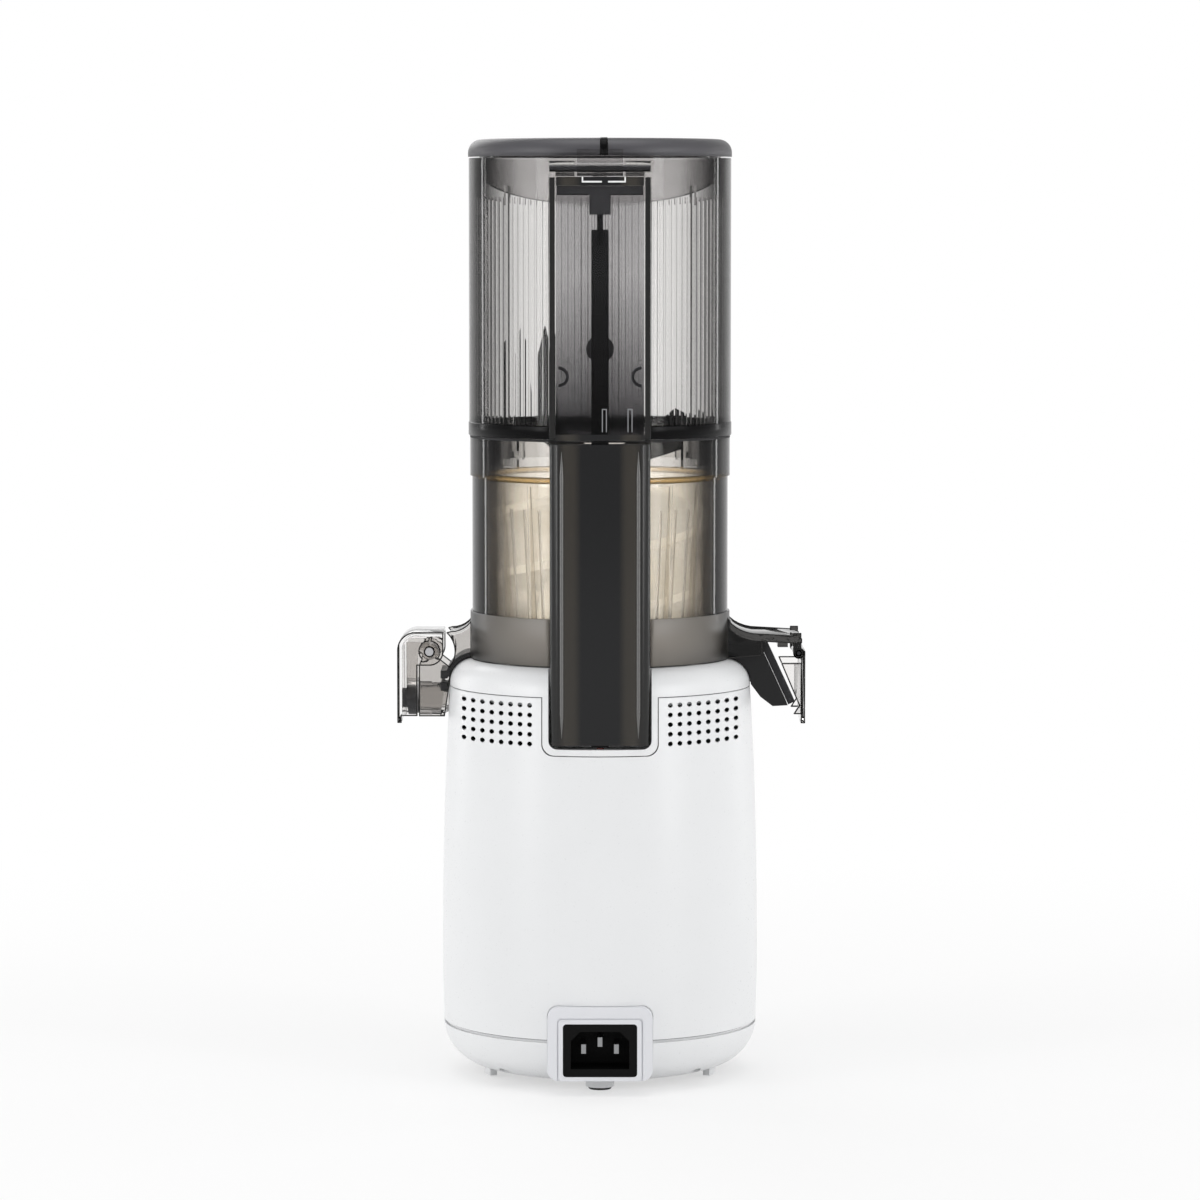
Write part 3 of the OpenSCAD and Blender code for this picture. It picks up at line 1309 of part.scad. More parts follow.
// Lid
lid_round = 5.5;
lid_gap = 0.5;
lid_z = hopper_top + lid_gap;
lid_top_t = 2.6;
skirt_r = hopper_in_r - guide_out - 0.6;
skirt_t = 1.6;
lug_reach = 7;
lug_half = 3;
lug_t = 2;
module hopper_lid() {
  rear_z = -1.5;
  color("#6b6d70") difference() {
    union() {
      rotate_extrude() difference() {
        lid_outline(0);
        square_from(0, lid_z - over, hopper_in_r - wall, lid_z + lid_h - lid_top_t);
      }
      // Inner skirt, cut off by a plane that slopes down to the front
      intersection() {
        difference() {
          translate([0, 0, lid_z - skirt_front]) cylinder(r = skirt_r, h = skirt_front + lid_h / 2);
          translate([0, 0, lid_z - skirt_front - over]) cylinder(r = skirt_r - skirt_t, h = skirt_front * 2);
        }
        translate([-skirt_r * 2, 0, 0]) rotate([90, 0, 90]) linear_extrude(skirt_r * 4)
          polygon([[-skirt_r - over, lid_z - skirt_front], [skirt_r * 0.6, lid_z + over],
            [skirt_r * 0.6, lid_z + lid_h / 2], [-skirt_r - over, lid_z + lid_h / 2]]);
      }
      // Arm and barrel of the hinge
      translate([-centre_knuckle_half, hinge_y, hinge_z]) rotate([0, 90, 0]) cylinder(r = knuckle_r, h = centre_knuckle_half * 2);
      translate([-centre_knuckle_half, hopper_in_r - wall, lid_z]) cube([centre_knuckle_half * 2, hinge_y - hopper_in_r + wall + knuckle_r * 0.6, wall]);
      translate([-centre_knuckle_half, hinge_y - knuckle_r * 0.5, hinge_z]) cube([centre_knuckle_half * 2, knuckle_r * 1.1, lid_z - hinge_z + over]);
      // Lug that presses the interlock's slider
      translate([-lug_half, plunger_y - lug_t / 2, hinge_z - lug_reach]) cube([lug_half * 2, lug_t, lug_reach]);
      // Rib under the crown
      translate([-lug_t / 2, -skirt_r * 0.5, lid_z + lid_h - lid_top_t - lug_t]) cube([lug_t, skirt_r * 1.4, lug_t + over]);
    }
    translate([-spine_w, hinge_y, hinge_z]) rotate([0, 90, 0]) cylinder(r = hinge_pin_r + run_play, h = spine_w * 2);
  }
}
module lid_outline(inset) {
  square_from(0, lid_z, hopper_r - inset, lid_z + lid_h - lid_round);
  square_from(0, lid_z, hopper_r - lid_round, lid_z + lid_h);
  intersection() {
    translate([hopper_r - lid_round, lid_z + lid_h - lid_round]) circle(lid_round);
    square_from(hopper_r - lid_round, lid_z + lid_h - lid_round, hopper_r, lid_z + lid_h);
  }
}

// Interlock rods
rod_gap = 0.4;
head_half = pocket_half - play * 2;
head_bar_h = 3.8;
head_stem_w = 9;
head_stem_h = 12;
thin_w = 2.6;
thin_h = 14;
rod_join_z = chamber_top + 0.5;
module upper_rod() {
  top = hinge_z - lug_reach - rod_gap;
  color("#1b1c1e") translate([0, rod_y0, 0]) union() {
    translate([-head_half, 0, top - head_bar_h]) cube([head_half * 2, rod_t, head_bar_h]);
    translate([-head_stem_w / 2, 0, top - head_stem_h]) cube([head_stem_w, rod_t, head_stem_h]);
    translate([-thin_w / 2, 0, top - head_stem_h - thin_h]) cube([thin_w, rod_t, thin_h + over]);
    translate([-rod_w / 2, 0, rod_join_z + rod_gap]) cube([rod_w, rod_t, top - head_stem_h - thin_h - rod_join_z]);
  }
}
module lower_rod() {
  foot = notch_floor_z + plunger_rest + rod_gap;
  color("#1b1c1e") translate([-rod_w / 2, rod_y0, foot]) cube([rod_w, rod_t, rod_join_z - foot]);
}

base_housing();
base_top_cover();
base_bottom_cover();
rubber_feet();
cover_screws();
inlet_bezel();
inlet_socket();
inlet_pins();
motor_can();
stator_core();
motor_bearings();
gearbox_case();
gearbox_plate();
output_bearing();
shaft_seal();
control_board();
rotary_switch();
interlock_switch();
rotor_core();
motor_shaft();
cooling_fan();
carrier_1();
planet_1a();
planet_1b();
planet_1c();
carrier_2();
drive_shaft();
planet_2a();
planet_2b();
planet_2c();
selector_knob();
switch_plunger();
chamber_bowl();
chamber_spine();
chamber_seal();
juice_spout();
nozzle_seal();
juice_cap_pin();
pulp_duct();
pulp_canopy();
pulp_cap_pin();
strainer();
auger();
feed_blade();
juice_cap();
juice_cap_lever();
juice_cap_disc();
pulp_cap();
pulp_flap();
lower_rod();
hopper();
hopper_spine_cover();
hinge_pin();
hopper_gasket();
hopper_lid();
upper_rod();
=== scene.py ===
"""Cold press juicer: finishes, fine pieces and studio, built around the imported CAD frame."""
import logging
import math
from dataclasses import dataclass
from enum import Enum
from typing import Any, Iterable, Optional, Union

import bmesh
import bpy
from mathutils import Matrix, Vector
from mathutils.bvhtree import BVHTree


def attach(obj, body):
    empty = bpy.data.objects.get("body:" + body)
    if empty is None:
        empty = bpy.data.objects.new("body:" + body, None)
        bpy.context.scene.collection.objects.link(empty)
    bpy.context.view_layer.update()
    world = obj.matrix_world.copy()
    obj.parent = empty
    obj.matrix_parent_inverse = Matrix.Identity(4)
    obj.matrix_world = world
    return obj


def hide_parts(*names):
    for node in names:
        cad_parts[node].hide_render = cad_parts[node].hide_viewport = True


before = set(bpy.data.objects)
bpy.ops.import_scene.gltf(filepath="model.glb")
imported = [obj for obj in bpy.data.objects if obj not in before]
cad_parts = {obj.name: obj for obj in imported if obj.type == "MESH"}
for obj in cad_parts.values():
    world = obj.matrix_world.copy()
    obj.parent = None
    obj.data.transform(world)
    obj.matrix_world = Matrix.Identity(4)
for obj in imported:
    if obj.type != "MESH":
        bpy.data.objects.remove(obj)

Place = tuple[float, float, float]
# What feeds a node's input
Source = Union[bpy.types.Node, bpy.types.NodeSocket]
# A closed outline as radius and height; blocks as their lowest and highest corner and their rounding
Outline = tuple[tuple[float, float], ...]
Box = tuple[Place, Place, float]
Boxes = tuple[Box, ...]

log = logging.getLogger("juicer")
MM = 0.001
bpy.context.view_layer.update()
# Points of a new mesh, and of a CAD mesh, that are one: closer than this, in metres
SAME_POINT, SAME_CORNER = 1e-7, 1e-5
# Faces that meet at less than this lie in one plane
FLAT_ANGLE = math.radians(1.0)
# Edges sharper than this are rounded, with this profile
SHARP_ANGLE, ROUND_PROFILE = math.radians(30.0), 0.5
# A cheek faces the back or the front by at least this cosine, and its faces lie within this depth;
# outline edges shorter than this get no line (both in millimetres)
CHEEK_FACING, CHEEK_DEPTH, SHORTEST = 0.995, 0.3, 0.05


def linear(code: str) -> tuple[float, ...]:
    """Turn an sRGB hex colour into linear red, green, blue and an alpha of one."""
    parts = (int(code[i:i + 2], 16) / 255 for i in (1, 3, 5))
    return (*(c / 12.92 if c <= 0.04045 else ((c + 0.055) / 1.055) ** 2.4 for c in parts), 1.0)


def add(tree: bpy.types.NodeTree, kind: str, links: Optional[dict[Any, Any]] = None,
        inputs: Optional[dict[Any, Any]] = None, **settings: Any) -> bpy.types.Node:
    """Add a node with its settings, constant inputs and incoming links.

    Args:
        tree: the node tree.
        kind: the node's type name; a shader node's goes without its prefix.
        links: input name or index to an output socket, or to a node for its first output.
        inputs: input name or index to a constant.
        settings: attributes of the node.

    Returns:
        The new node.
    """
    made = tree.nodes.new(kind if "Node" in kind else "ShaderNode" + kind)
    for key, value in settings.items():
        setattr(made, key, value)
    for key, value in (inputs or {}).items():
        made.inputs[key].default_value = value
    for key, source in (links or {}).items():
        socket = source.outputs[0] if isinstance(source, bpy.types.Node) else source
        tree.links.new(socket, made.inputs[key])
    return made


def ranged(tree: bpy.types.NodeTree, value: Source, *levels: float, kind: str = "LINEAR") -> Source:
    """Map a value from the range of the first two levels to that of the last two, and hold it there."""
    return add(tree, "MapRange", {0: value}, dict(enumerate(levels, 1)), clamp=True,
               interpolation_type=kind)


class Pattern(Enum):
    """How the surface was made: the stretch of its marks along X, Y and Z."""

    MOULDED = (1.0, 1.0, 1.0)
    BRUSHED = (1.0, 1.0, 0.04)
    TURNED = (0.06, 0.06, 1.0)
    LAMINATED = (0.05, 0.05, 1.6)


# Noise settings of the broad colour blotches and of the fine surface grain
BLOTCH = {"Detail": 3.0, "Roughness": 0.6}
GRAIN = {"Detail": 4.0, "Roughness": 0.55}
# Part of the grain's range that moves the roughness, and how strongly the grain stands out
GRAIN_LOW, GRAIN_HIGH = 0.3, 0.7
BUMP_STRENGTH = 0.3
# What all polished clear walls share: no fine grain, light goes straight through
SHEER = {"transmission": 1.0, "grain": 30.0, "depth": 0.004, "spread": 0.02}


@dataclass(frozen=True)
class Finish:
    """A real material and the way its surface was made.

    Besides the shader's own values it holds the sizes of grain and blotches in millimetres, the
    part of the turn away from the eye over which a clear wall darkens (rim_at, partly painted shade),
    a painted shade towards the foot (low_tone between the heights low_mm) and painted bands of light
    and shade by distance from the middle (across).
    """

    name: str
    colour: str
    shade: str
    roughness: float
    ior: float = 1.5
    metallic: float = 0.0
    transmission: float = 0.0
    grain: float = 1.2
    depth: float = 0.02
    blotch: float = 40.0
    spread: float = 0.08
    rim: float = 0.0
    rim_at: tuple[float, float] = (0.3, 0.8)
    rim_tone: str = "#0C0B0A"
    specular: float = 0.5
    low_tone: str = ""
    low_mm: tuple[float, float] = (0.0, 1.0)
    across: tuple[tuple[float, str], ...] = ()
    pattern: Pattern = Pattern.MOULDED

    def build(self) -> bpy.types.Material:
        """Make the material once, and hand out the same one afterwards.

        Returns:
            The material.
        """
        known = bpy.data.materials.get(self.name)
        if known is not None:
            return known
        made = bpy.data.materials.new(self.name)
        made.use_nodes = True
        tree = made.node_tree
        tree.nodes.clear()
        where = add(tree, "TexCoord").outputs["Object"]
        placed = add(tree, "Mapping", {"Vector": where}, {"Scale": self.pattern.value})
        blotch = add(tree, "TexNoise", {"Vector": where}, {"Scale": 1 / (self.blotch * MM), **BLOTCH})
        grain = add(tree, "TexNoise", {"Vector": placed}, {"Scale": 1 / (self.grain * MM), **GRAIN})
        tint = self.tint(tree, where, blotch)
        rough = ranged(tree, grain, GRAIN_LOW, GRAIN_HIGH,
                       max(0.0, self.roughness - self.spread), min(1.0, self.roughness + self.spread))
        bump = add(tree, "Bump", {"Height": grain}, {"Strength": BUMP_STRENGTH, "Distance": self.depth * MM})
        surface = add(tree, "BsdfPrincipled", {"Base Color": tint, "Roughness": rough, "Normal": bump},
                      {"IOR": self.ior, "Metallic": self.metallic, "Specular IOR Level": self.specular,
                       "Transmission Weight": self.transmission})
        add(tree, "OutputMaterial", {"Surface": surface})
        return made

    def tint(self, tree: bpy.types.NodeTree, where: Source, blotch: Source) -> Source:
        """Mix the finish's colours.

        Args:
            tree: the material's node tree.
            where: the place on the object.
            blotch: the blotches' noise.

        Returns:
            What gives the base colour.
        """
        tint = add(tree, "Mix", {0: blotch}, {6: linear(self.colour), 7: linear(self.shade)},
                   data_type="RGBA").outputs[2]
        # Painted shade: darker towards the foot
        if self.low_tone:
            height = add(tree, "SeparateXYZ", {0: where}).outputs["Z"]
            share = ranged(tree, height, *(mm * MM for mm in self.low_mm), 1.0, 0.0)
            tint = add(tree, "Mix", {0: share, 6: tint}, {7: linear(self.low_tone)},
                       data_type="RGBA").outputs[2]
        # Painted light and shade: bands of colour by distance from the middle
        if self.across:
            side = add(tree, "SeparateXYZ", {0: where}).outputs["X"]
            side = add(tree, "Math", {0: side}, operation="ABSOLUTE")
            reach = self.across[-1][0]
            side = add(tree, "Math", {0: side}, {1: 1 / (reach * MM)}, operation="MULTIPLY")
            ramp = add(tree, "ValToRGB", {0: side})
            stops = ramp.color_ramp.elements
            for i, (mm, code) in enumerate(self.across):
                stop = stops[i] if i < 2 else stops.new(1.0)
                stop.position = mm / reach
                stop.color = linear(code)
            tint = ramp
        # Painted shade: the colour turns to rim_tone where the surface turns away from the eye. This stands
        # for the dark surroundings seen in a clear wall, besides the longer path through its tint.
        if self.rim:
            facing = add(tree, "LayerWeight", inputs={"Blend": 0.5}).outputs["Facing"]
            edge = ranged(tree, facing, *self.rim_at, 0.0, self.rim)
            tint = add(tree, "Mix", {0: edge, 6: tint}, {7: linear(self.rim_tone)},
                       data_type="RGBA").outputs[2]
        return tint


class Finishes:
    """Every finish of the juicer."""

    # ABS, gloss mould face: bright, faintly cool white with a soft broad sheen
    casing = Finish("abs_white_satin", "#E8E9EA", "#E4E5E6", 0.34, 1.54, grain=0.9, depth=0.006)
    # ABS of the parting lines, one shade lower
    casing_low = Finish("abs_white_matt", "#DFE0E4", "#D8D9DD", 0.5, 1.54, grain=0.7, depth=0.01)
    # Nitrile rubber: near black, no shine
    rubber = Finish("nitrile_rubber_black", "#1B1B1D", "#111113", 0.75, 1.52, grain=0.6, depth=0.03)
    # Grey, dull strips in the parting lines: painted shade of their grooves
    seam_shade = Finish("seam_shade_grey", "#6E6F73", "#606165", 0.9, 1.45, grain=0.3, depth=0.05)
    # Silicone seal: dark, a waxy sheen
    silicone = Finish("silicone_charcoal", "#232326", "#17171A", 0.5, 1.41, grain=0.8, depth=0.01)
    # Glass-filled polyamide: black, fine dull grain
    nylon_black = Finish("polyamide_black", "#121213", "#0B0B0C", 0.5, 1.53, grain=0.5, depth=0.02,
                         specular=0.3)
    # Phenolic of the inlet: deep black, nearly no sheen
    phenolic = Finish("phenolic_black", "#070707", "#050505", 0.55, grain=0.6, depth=0.01, specular=0.12)
    # Black acetal rods and blades: smooth, slight gloss
    acetal = Finish("acetal_black", "#161617", "#121213", 0.42, 1.48, grain=2.0, depth=0.003, spread=0.02,
                    specular=0.15)
    # Smoked copolyester, polished mould: grey, clear, dark where seen edge on
    smoked = Finish("copolyester_smoked", "#EAE9E8", "#E5E4E3", 0.03, 1.17, rim=0.97, rim_at=(0.2, 0.58),
                    specular=0.1, **SHEER)
    # The chamber's wall, thicker, so its painted edge shade sets in sooner towards its edges
    smoked_thick = Finish("copolyester_smoked_thick", "#F6F4F1", "#F1EFEC", 0.03, 1.17, rim=0.97,
                          rim_at=(0.17, 0.42), specular=0.1, **SHEER)
    # The same plastic, thinner and paler, of the spouts' clear walls
    smoked_light = Finish("copolyester_pale", "#DEDCDA", "#D8D6D4", 0.03, 1.22, rim=0.97,
                          rim_at=(0.2, 0.65), specular=0.25, **SHEER)
    # Clear copolyester of the two caps
    clear = Finish("copolyester_clear", "#F9F8F7", "#F5F4F3", 0.03, 1.18, rim=0.9, rim_at=(0.35, 0.8),
                   specular=0.2, **SHEER)
    # Chamber's foot band: spark-eroded mould face, so cloudy and satin
    frosted = Finish("copolyester_frosted", "#AFA89F", "#A49D94", 0.36, transmission=0.45, grain=0.35,
                     depth=0.02, rim=0.95, rim_at=(0.06, 0.72))
    # Dark smoked polycarbonate of the chamber's spine: lets a little light through. Across its face it has a
    # bluish dark middle, and lighter brown bands 11 to 15 mm out that are painted light of the strainer
    # shining through
    spine = Finish("polycarbonate_dark", "#131315", "#0E0E10", 0.24, 1.58, transmission=0.3, grain=0.5,
                   depth=0.002, spread=0.03, rim=0.6, specular=0.18,
                   across=((0.0, "#0A0B0E"), (8.0, "#0B0C0F"), (11.0, "#37332D"), (15.0, "#3B3731"),
                           (17.6, "#1C1B1A"), (21.4, "#141413")))
    # Its rounded corner beads, pale grey in fine blotches: painted highlight with glints along the spine's
    # corners
    bead = Finish("polycarbonate_bead_highlight", "#5E5D5C", "#3A3938", 0.3, 1.58, grain=0.35, depth=0.03,
                  blotch=0.5, spread=0.1, specular=0.8)
    # The same, close to black: for the lid's rib, and for the skin on the hopper's thick foot, which is
    # partly its deep tint and partly painted shade
    spine_thick = Finish("polycarbonate_near_black", "#0A0A0B", "#070708", 0.2, 1.58, grain=0.5,
                         depth=0.003, specular=0.06)
    # Cover of the hopper's rod: satin. It is darker towards its foot: painted shade for the thick dark wall
    # seen through it
    veil = Finish("polycarbonate_veil", "#D0CFD1", "#C6C5C7", 0.16, 1.2, transmission=1.0, grain=30.0,
                  depth=0.002, spread=0.02, rim=0.8, specular=0.3, low_tone="#38373A",
                  low_mm=(284.0, 350.0))
    # Lid: smoked copolyester, clear in its skirt
    lid = Finish("copolyester_lid", "#C6C4C4", "#BEBCBC", 0.06, 1.25, transmission=1.0, grain=30.0,
                 depth=0.004, rim=0.95, rim_at=(0.15, 0.7), specular=0.25)
    # Cloudy top of the lid, from a sanded mould face
    lid_top = Finish("copolyester_sanded", "#5F5E62", "#56555A", 0.42, transmission=0.35, grain=0.4,
                     depth=0.006, rim=0.5, specular=0.4)
    # Thick hood of the pulp outlet
    hood = Finish("copolyester_hood", "#4A4948", "#434241", 0.05, 1.3, rim=0.97, rim_at=(0.1, 0.5),
                  specular=0.2, **SHEER)
    # Near black, glossy strips on the clear plastic's outlines: painted shade where the wall is seen edge on
    edge_shade = Finish("copolyester_edge_shade", "#1E1D1C", "#171615", 0.12, grain=2.0, depth=0.002,
                       specular=0.3)
    # Pale strips: painted light on clear wall edges seen against one bright opening
    edge_light = Finish("copolyester_edge_light_painted", "#F2F2F2", "#ECECEC", 0.2, grain=2.0, depth=0.002)
    # Strainer's crown: deep amber, clear, honey coloured where light comes through
    crown = Finish("polyetherimide_clear_amber", "#F3D7A0", "#E9C785", 0.1, 1.3, transmission=0.8,
                   grain=8.0, depth=0.004, rim=0.85, rim_at=(0.35, 0.8), rim_tone="#4A3010", specular=0.4)
    # Polyetherimide of the strainer: pale and warm face on, deep amber edge on
    amber = Finish("polyetherimide_amber", "#FFFCF6", "#FFF8EA", 0.12, 1.66, transmission=0.8, grain=3.0,
                   depth=0.01, blotch=25.0, rim=0.62, rim_at=(0.35, 0.85), rim_tone="#7A4C0C", specular=0.4)
    # Polyetherimide with filler, auger: warm grey beige, dull
    auger = Finish("polyetherimide_beige", "#F5F2EA", "#EEEADF", 0.4, 1.66, grain=1.5, depth=0.02,
                   blotch=30.0)
    # Grey polypropylene lever
    lever = Finish("polypropylene_grey", "#8D8E91", "#808184", 0.45, 1.49, grain=0.9, depth=0.01)
    # Flat face of the safety rod's head, greyed by its sanded mould
    lever_dark = Finish("acetal_sanded", "#3E3E40", "#353537", 0.5, 1.48, grain=0.5, depth=0.02)
    # Stainless steel, brushed along its length
    steel = Finish("stainless_brushed", "#C8C8CA", "#B4B4B7", 0.28, metallic=1.0, grain=0.4, depth=0.006,
                   pattern=Pattern.BRUSHED)
    # Steel pins with a black oxide skin
    oxide = Finish("steel_black_oxide", "#3A3A3D", "#303033", 0.32, metallic=0.9, grain=0.4, depth=0.004,
                   pattern=Pattern.TURNED)
    # Tinned brass pins of the inlet
    tinned = Finish("brass_tinned", "#A2A3A4", "#8F9092", 0.3, metallic=1.0, grain=0.4, depth=0.004,
                    pattern=Pattern.BRUSHED)
    # Zinc-plated screws
    zinc = Finish("steel_zinc_plated", "#B8BBC0", "#A3A6AB", 0.34, metallic=1.0, grain=0.5, depth=0.01,
                  pattern=Pattern.TURNED)
    # Electrical steel sheets, stacked
    laminated = Finish("electrical_steel_stack", "#6E6F72", "#55565A", 0.42, metallic=1.0, grain=0.5,
                       depth=0.05, pattern=Pattern.LAMINATED)
    # Sintered bronze bearing
    bronze = Finish("bronze_sintered", "#A67C45", "#8E6837", 0.4, metallic=1.0, grain=0.4, depth=0.03,
                    pattern=Pattern.TURNED)
    # Natural polyamide gears
    gear = Finish("polyamide_natural", "#DCD5C2", "#CFC7B1", 0.42, 1.53, grain=0.9, depth=0.01)
    # Glass-epoxy circuit board
    board = Finish("glass_epoxy_green", "#1F5A3C", "#184A31", 0.35, 1.55, grain=1.0, depth=0.01)
    # Knob: painted silver over ABS
    silver = Finish("paint_silver_satin", "#B9BABD", "#B1B2B6", 0.3, metallic=0.85, grain=0.2,
                    depth=0.0025, spread=0.04)
    # Red acetal plunger
    red = Finish("acetal_red", "#6E231C", "#5E1D17", 0.4, 1.48, grain=0.9, depth=0.01)


def dress(finish: Finish, *nodes: str) -> None:
    """Give carried-over CAD nodes a finish.

    Args:
        finish: the finish.
        nodes: names of CAD nodes.
    """
    for name in nodes:
        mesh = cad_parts[name].data
        mesh.materials.clear()
        mesh.materials.append(finish.build())
        log.info("dressed %s in %s", name, finish.name)


def in_scene(made: bpy.types.Object) -> bpy.types.Object:
    """Put a new object in the scene and hand it back."""
    bpy.context.scene.collection.objects.link(made)
    return made


def settle(mesh: bpy.types.Mesh, finish: Finish, body: str,
           stands_for: Iterable[str] = ()) -> bpy.types.Object:
    """Put a finished mesh in the scene as a piece of the same name.

    Args:
        mesh: the mesh, already in place.
        finish: its finish.
        body: the CAD body it moves with.
        stands_for: CAD nodes it replaces.

    Returns:
        The new object.
    """
    piece = in_scene(bpy.data.objects.new(mesh.name, mesh))
    mesh.materials.clear()
    mesh.materials.append(finish.build())
    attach(piece, body)
    if stands_for:
        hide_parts(*stands_for)
    log.info("made %s on %s", piece.name, body)
    return piece


def plain_mesh(name: str, work: bmesh.types.BMesh, smooth: bool = False) -> bpy.types.Mesh:
    """Turn finished bmesh work into a mesh with outward faces.

    Args:
        name: name of the mesh.
        work: the bmesh, freed here.
        smooth: shade the faces smooth.

    Returns:
        The mesh.
    """
    bmesh.ops.remove_doubles(work, verts=work.verts, dist=SAME_POINT)
    bmesh.ops.recalc_face_normals(work, faces=work.faces)
    for face in work.faces:
        face.smooth = smooth
    mesh = bpy.data.meshes.new(name)
    work.to_mesh(mesh)
    work.free()
    return mesh


def lace(work: bmesh.types.BMesh, rows: list[list[bmesh.types.BMVert]], caps: bool = True) -> None:
    """Join rows of vertices into a tube.

    Args:
        work: the bmesh.
        rows: closed loops of vertices, all with the same count.
        caps: close both ends with a face.
    """
    for here, there in zip(rows, rows[1:]):
        for k in range(len(here)):
            j = (k + 1) % len(here)
            work.faces.new((here[k], there[k], there[j], here[j]))
    if caps:
        work.faces.new(rows[0])
        work.faces.new(list(reversed(rows[-1])))


def block(work: bmesh.types.BMesh, low: Place, high: Place, round_mm: float,
          spin: Matrix = Matrix()) -> None:
    """Add a block with rounded edges to a mesh under work.

    Args:
        work: the bmesh.
        low: one corner, in millimetres.
        high: the opposite corner.
        round_mm: rounding of the edges.
        spin: where the block's own axes lie.
    """
    size = [abs(b - a) * MM for a, b in zip(low, high)]
    middle = [(a + b) / 2 * MM for a, b in zip(low, high)]
    place = spin @ Matrix.Translation(middle) @ Matrix.Diagonal((*size, 1.0))
    made = bmesh.ops.create_cube(work, size=1.0, matrix=place)
    edges = list({e for v in made["verts"] for e in v.link_edges})
    bmesh.ops.bevel(work, geom=edges, offset=round_mm * MM, offset_type="OFFSET", segments=2,
                    profile=ROUND_PROFILE, affect="EDGES", clamp_overlap=True)


def blocks(name: str, boxes: Boxes, finish: Finish, body: str) -> None:
    """Make a piece of rounded blocks.

    Args:
        name: name of the piece.
        boxes: its blocks.
        finish: its finish.
        body: the CAD body it moves with.
    """
    work = bmesh.new()
    for box in boxes:
        block(work, *box)
    settle(plain_mesh(name, work), finish, body)


def rounded(node: str, finish: Finish, body: str, width_mm: float,
            steps: int = 3) -> bpy.types.Object:
    """Replace a CAD node by a copy whose edges are rounded as its mould rounds them.

    Args:
        node: name of the CAD node.
        finish: its finish.
        body: the CAD body it moves with.
        width_mm: width of the rounding.
        steps: facets across the rounding.

    Returns:
        The new object.
    """
    work = bmesh.new()
    work.from_mesh(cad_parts[node].data)
    bmesh.ops.remove_doubles(work, verts=work.verts, dist=SAME_CORNER)
    bmesh.ops.dissolve_limit(work, angle_limit=FLAT_ANGLE, verts=work.verts, edges=work.edges)
    sharp = [e for e in work.edges if len(e.link_faces) == 2 and e.calc_face_angle(0.0) > SHARP_ANGLE]
    bmesh.ops.bevel(work, geom=sharp, offset=width_mm * MM, offset_type="WIDTH", segments=steps,
                    profile=ROUND_PROFILE, affect="EDGES", clamp_overlap=True)
    for face in work.faces:
        face.smooth = True
    mesh = bpy.data.meshes.new(node + "_rounded")
    work.to_mesh(mesh)
    work.free()
    mesh.set_sharp_from_angle(angle=SHARP_ANGLE)
    return settle(mesh, finish, body, (node,))


def edge_shade_lines(name: str, source: bpy.types.Object, body: str, wide_mm: float) -> None:
    """Lay thin dark prisms along the outline of a piece's flat cheeks: painted shade where its wall is seen
    edge on.

    Args:
        name: name of the new piece.
        source: the piece whose cheeks face the back and the front.
        body: the CAD body they move with.
        wide_mm: width of a prism.
    """
    shape = bmesh.new()
    shape.from_mesh(source.data)
    work = bmesh.new()
    half = wide_mm * MM / 2
    for side in (-1, 1):
        flat = {f for f in shape.faces if f.normal.y * side > CHEEK_FACING}
        if not flat:
            continue
        level = max(f.calc_center_median().y * side for f in flat) - CHEEK_DEPTH * MM
        flat = {f for f in flat if f.calc_center_median().y * side > level}
        for edge in {e for f in flat for e in f.edges}:
            if sum(f in flat for f in edge.link_faces) != 1 or edge.calc_length() < SHORTEST * MM:
                continue
            start, end = (v.co for v in edge.verts)
            along = (end - start).normalized()
            out = Vector((0.0, 1.0, 0.0))
            spin = Matrix((along, out.cross(along), out)).transposed().to_4x4()
            spin.translation = (start + end) / 2
            size = (edge.calc_length() + half, half * 2, half)
            bmesh.ops.create_cube(work, size=1.0, matrix=spin @ Matrix.Diagonal((*size, 1.0)))
    shape.free()
    settle(plain_mesh(name, work), Finishes.edge_shade, body)


def turned(name: str, profile: Outline, steps: int = 128,
           start_deg: float = 0.0, sweep_deg: float = 360.0) -> bpy.types.Mesh:
    """Turn a closed profile round the upright axis.

    Args:
        name: name of the mesh.
        profile: closed outline as radius and height, in millimetres.
        steps: facets along the sweep.
        start_deg: where the sweep starts.
        sweep_deg: how far it goes; less than a full turn gets end faces.

    Returns:
        The mesh.
    """
    work = bmesh.new()
    whole = sweep_deg >= 360.0
    columns = []
    for i in range(steps if whole else steps + 1):
        a = math.radians(start_deg + sweep_deg * i / steps)
        across, ahead = MM * math.cos(a), MM * math.sin(a)
        columns.append([work.verts.new((r * across, r * ahead, z * MM)) for r, z in profile])
    lace(work, columns + columns[:1] if whole else columns, not whole)
    return plain_mesh(name, work, True)


def past_spine(half_deg: float) -> tuple[float, float]:
    """Start and sweep, in degrees, of a ring that is open where the spine stands."""
    return 90 + half_deg, 360 - 2 * half_deg


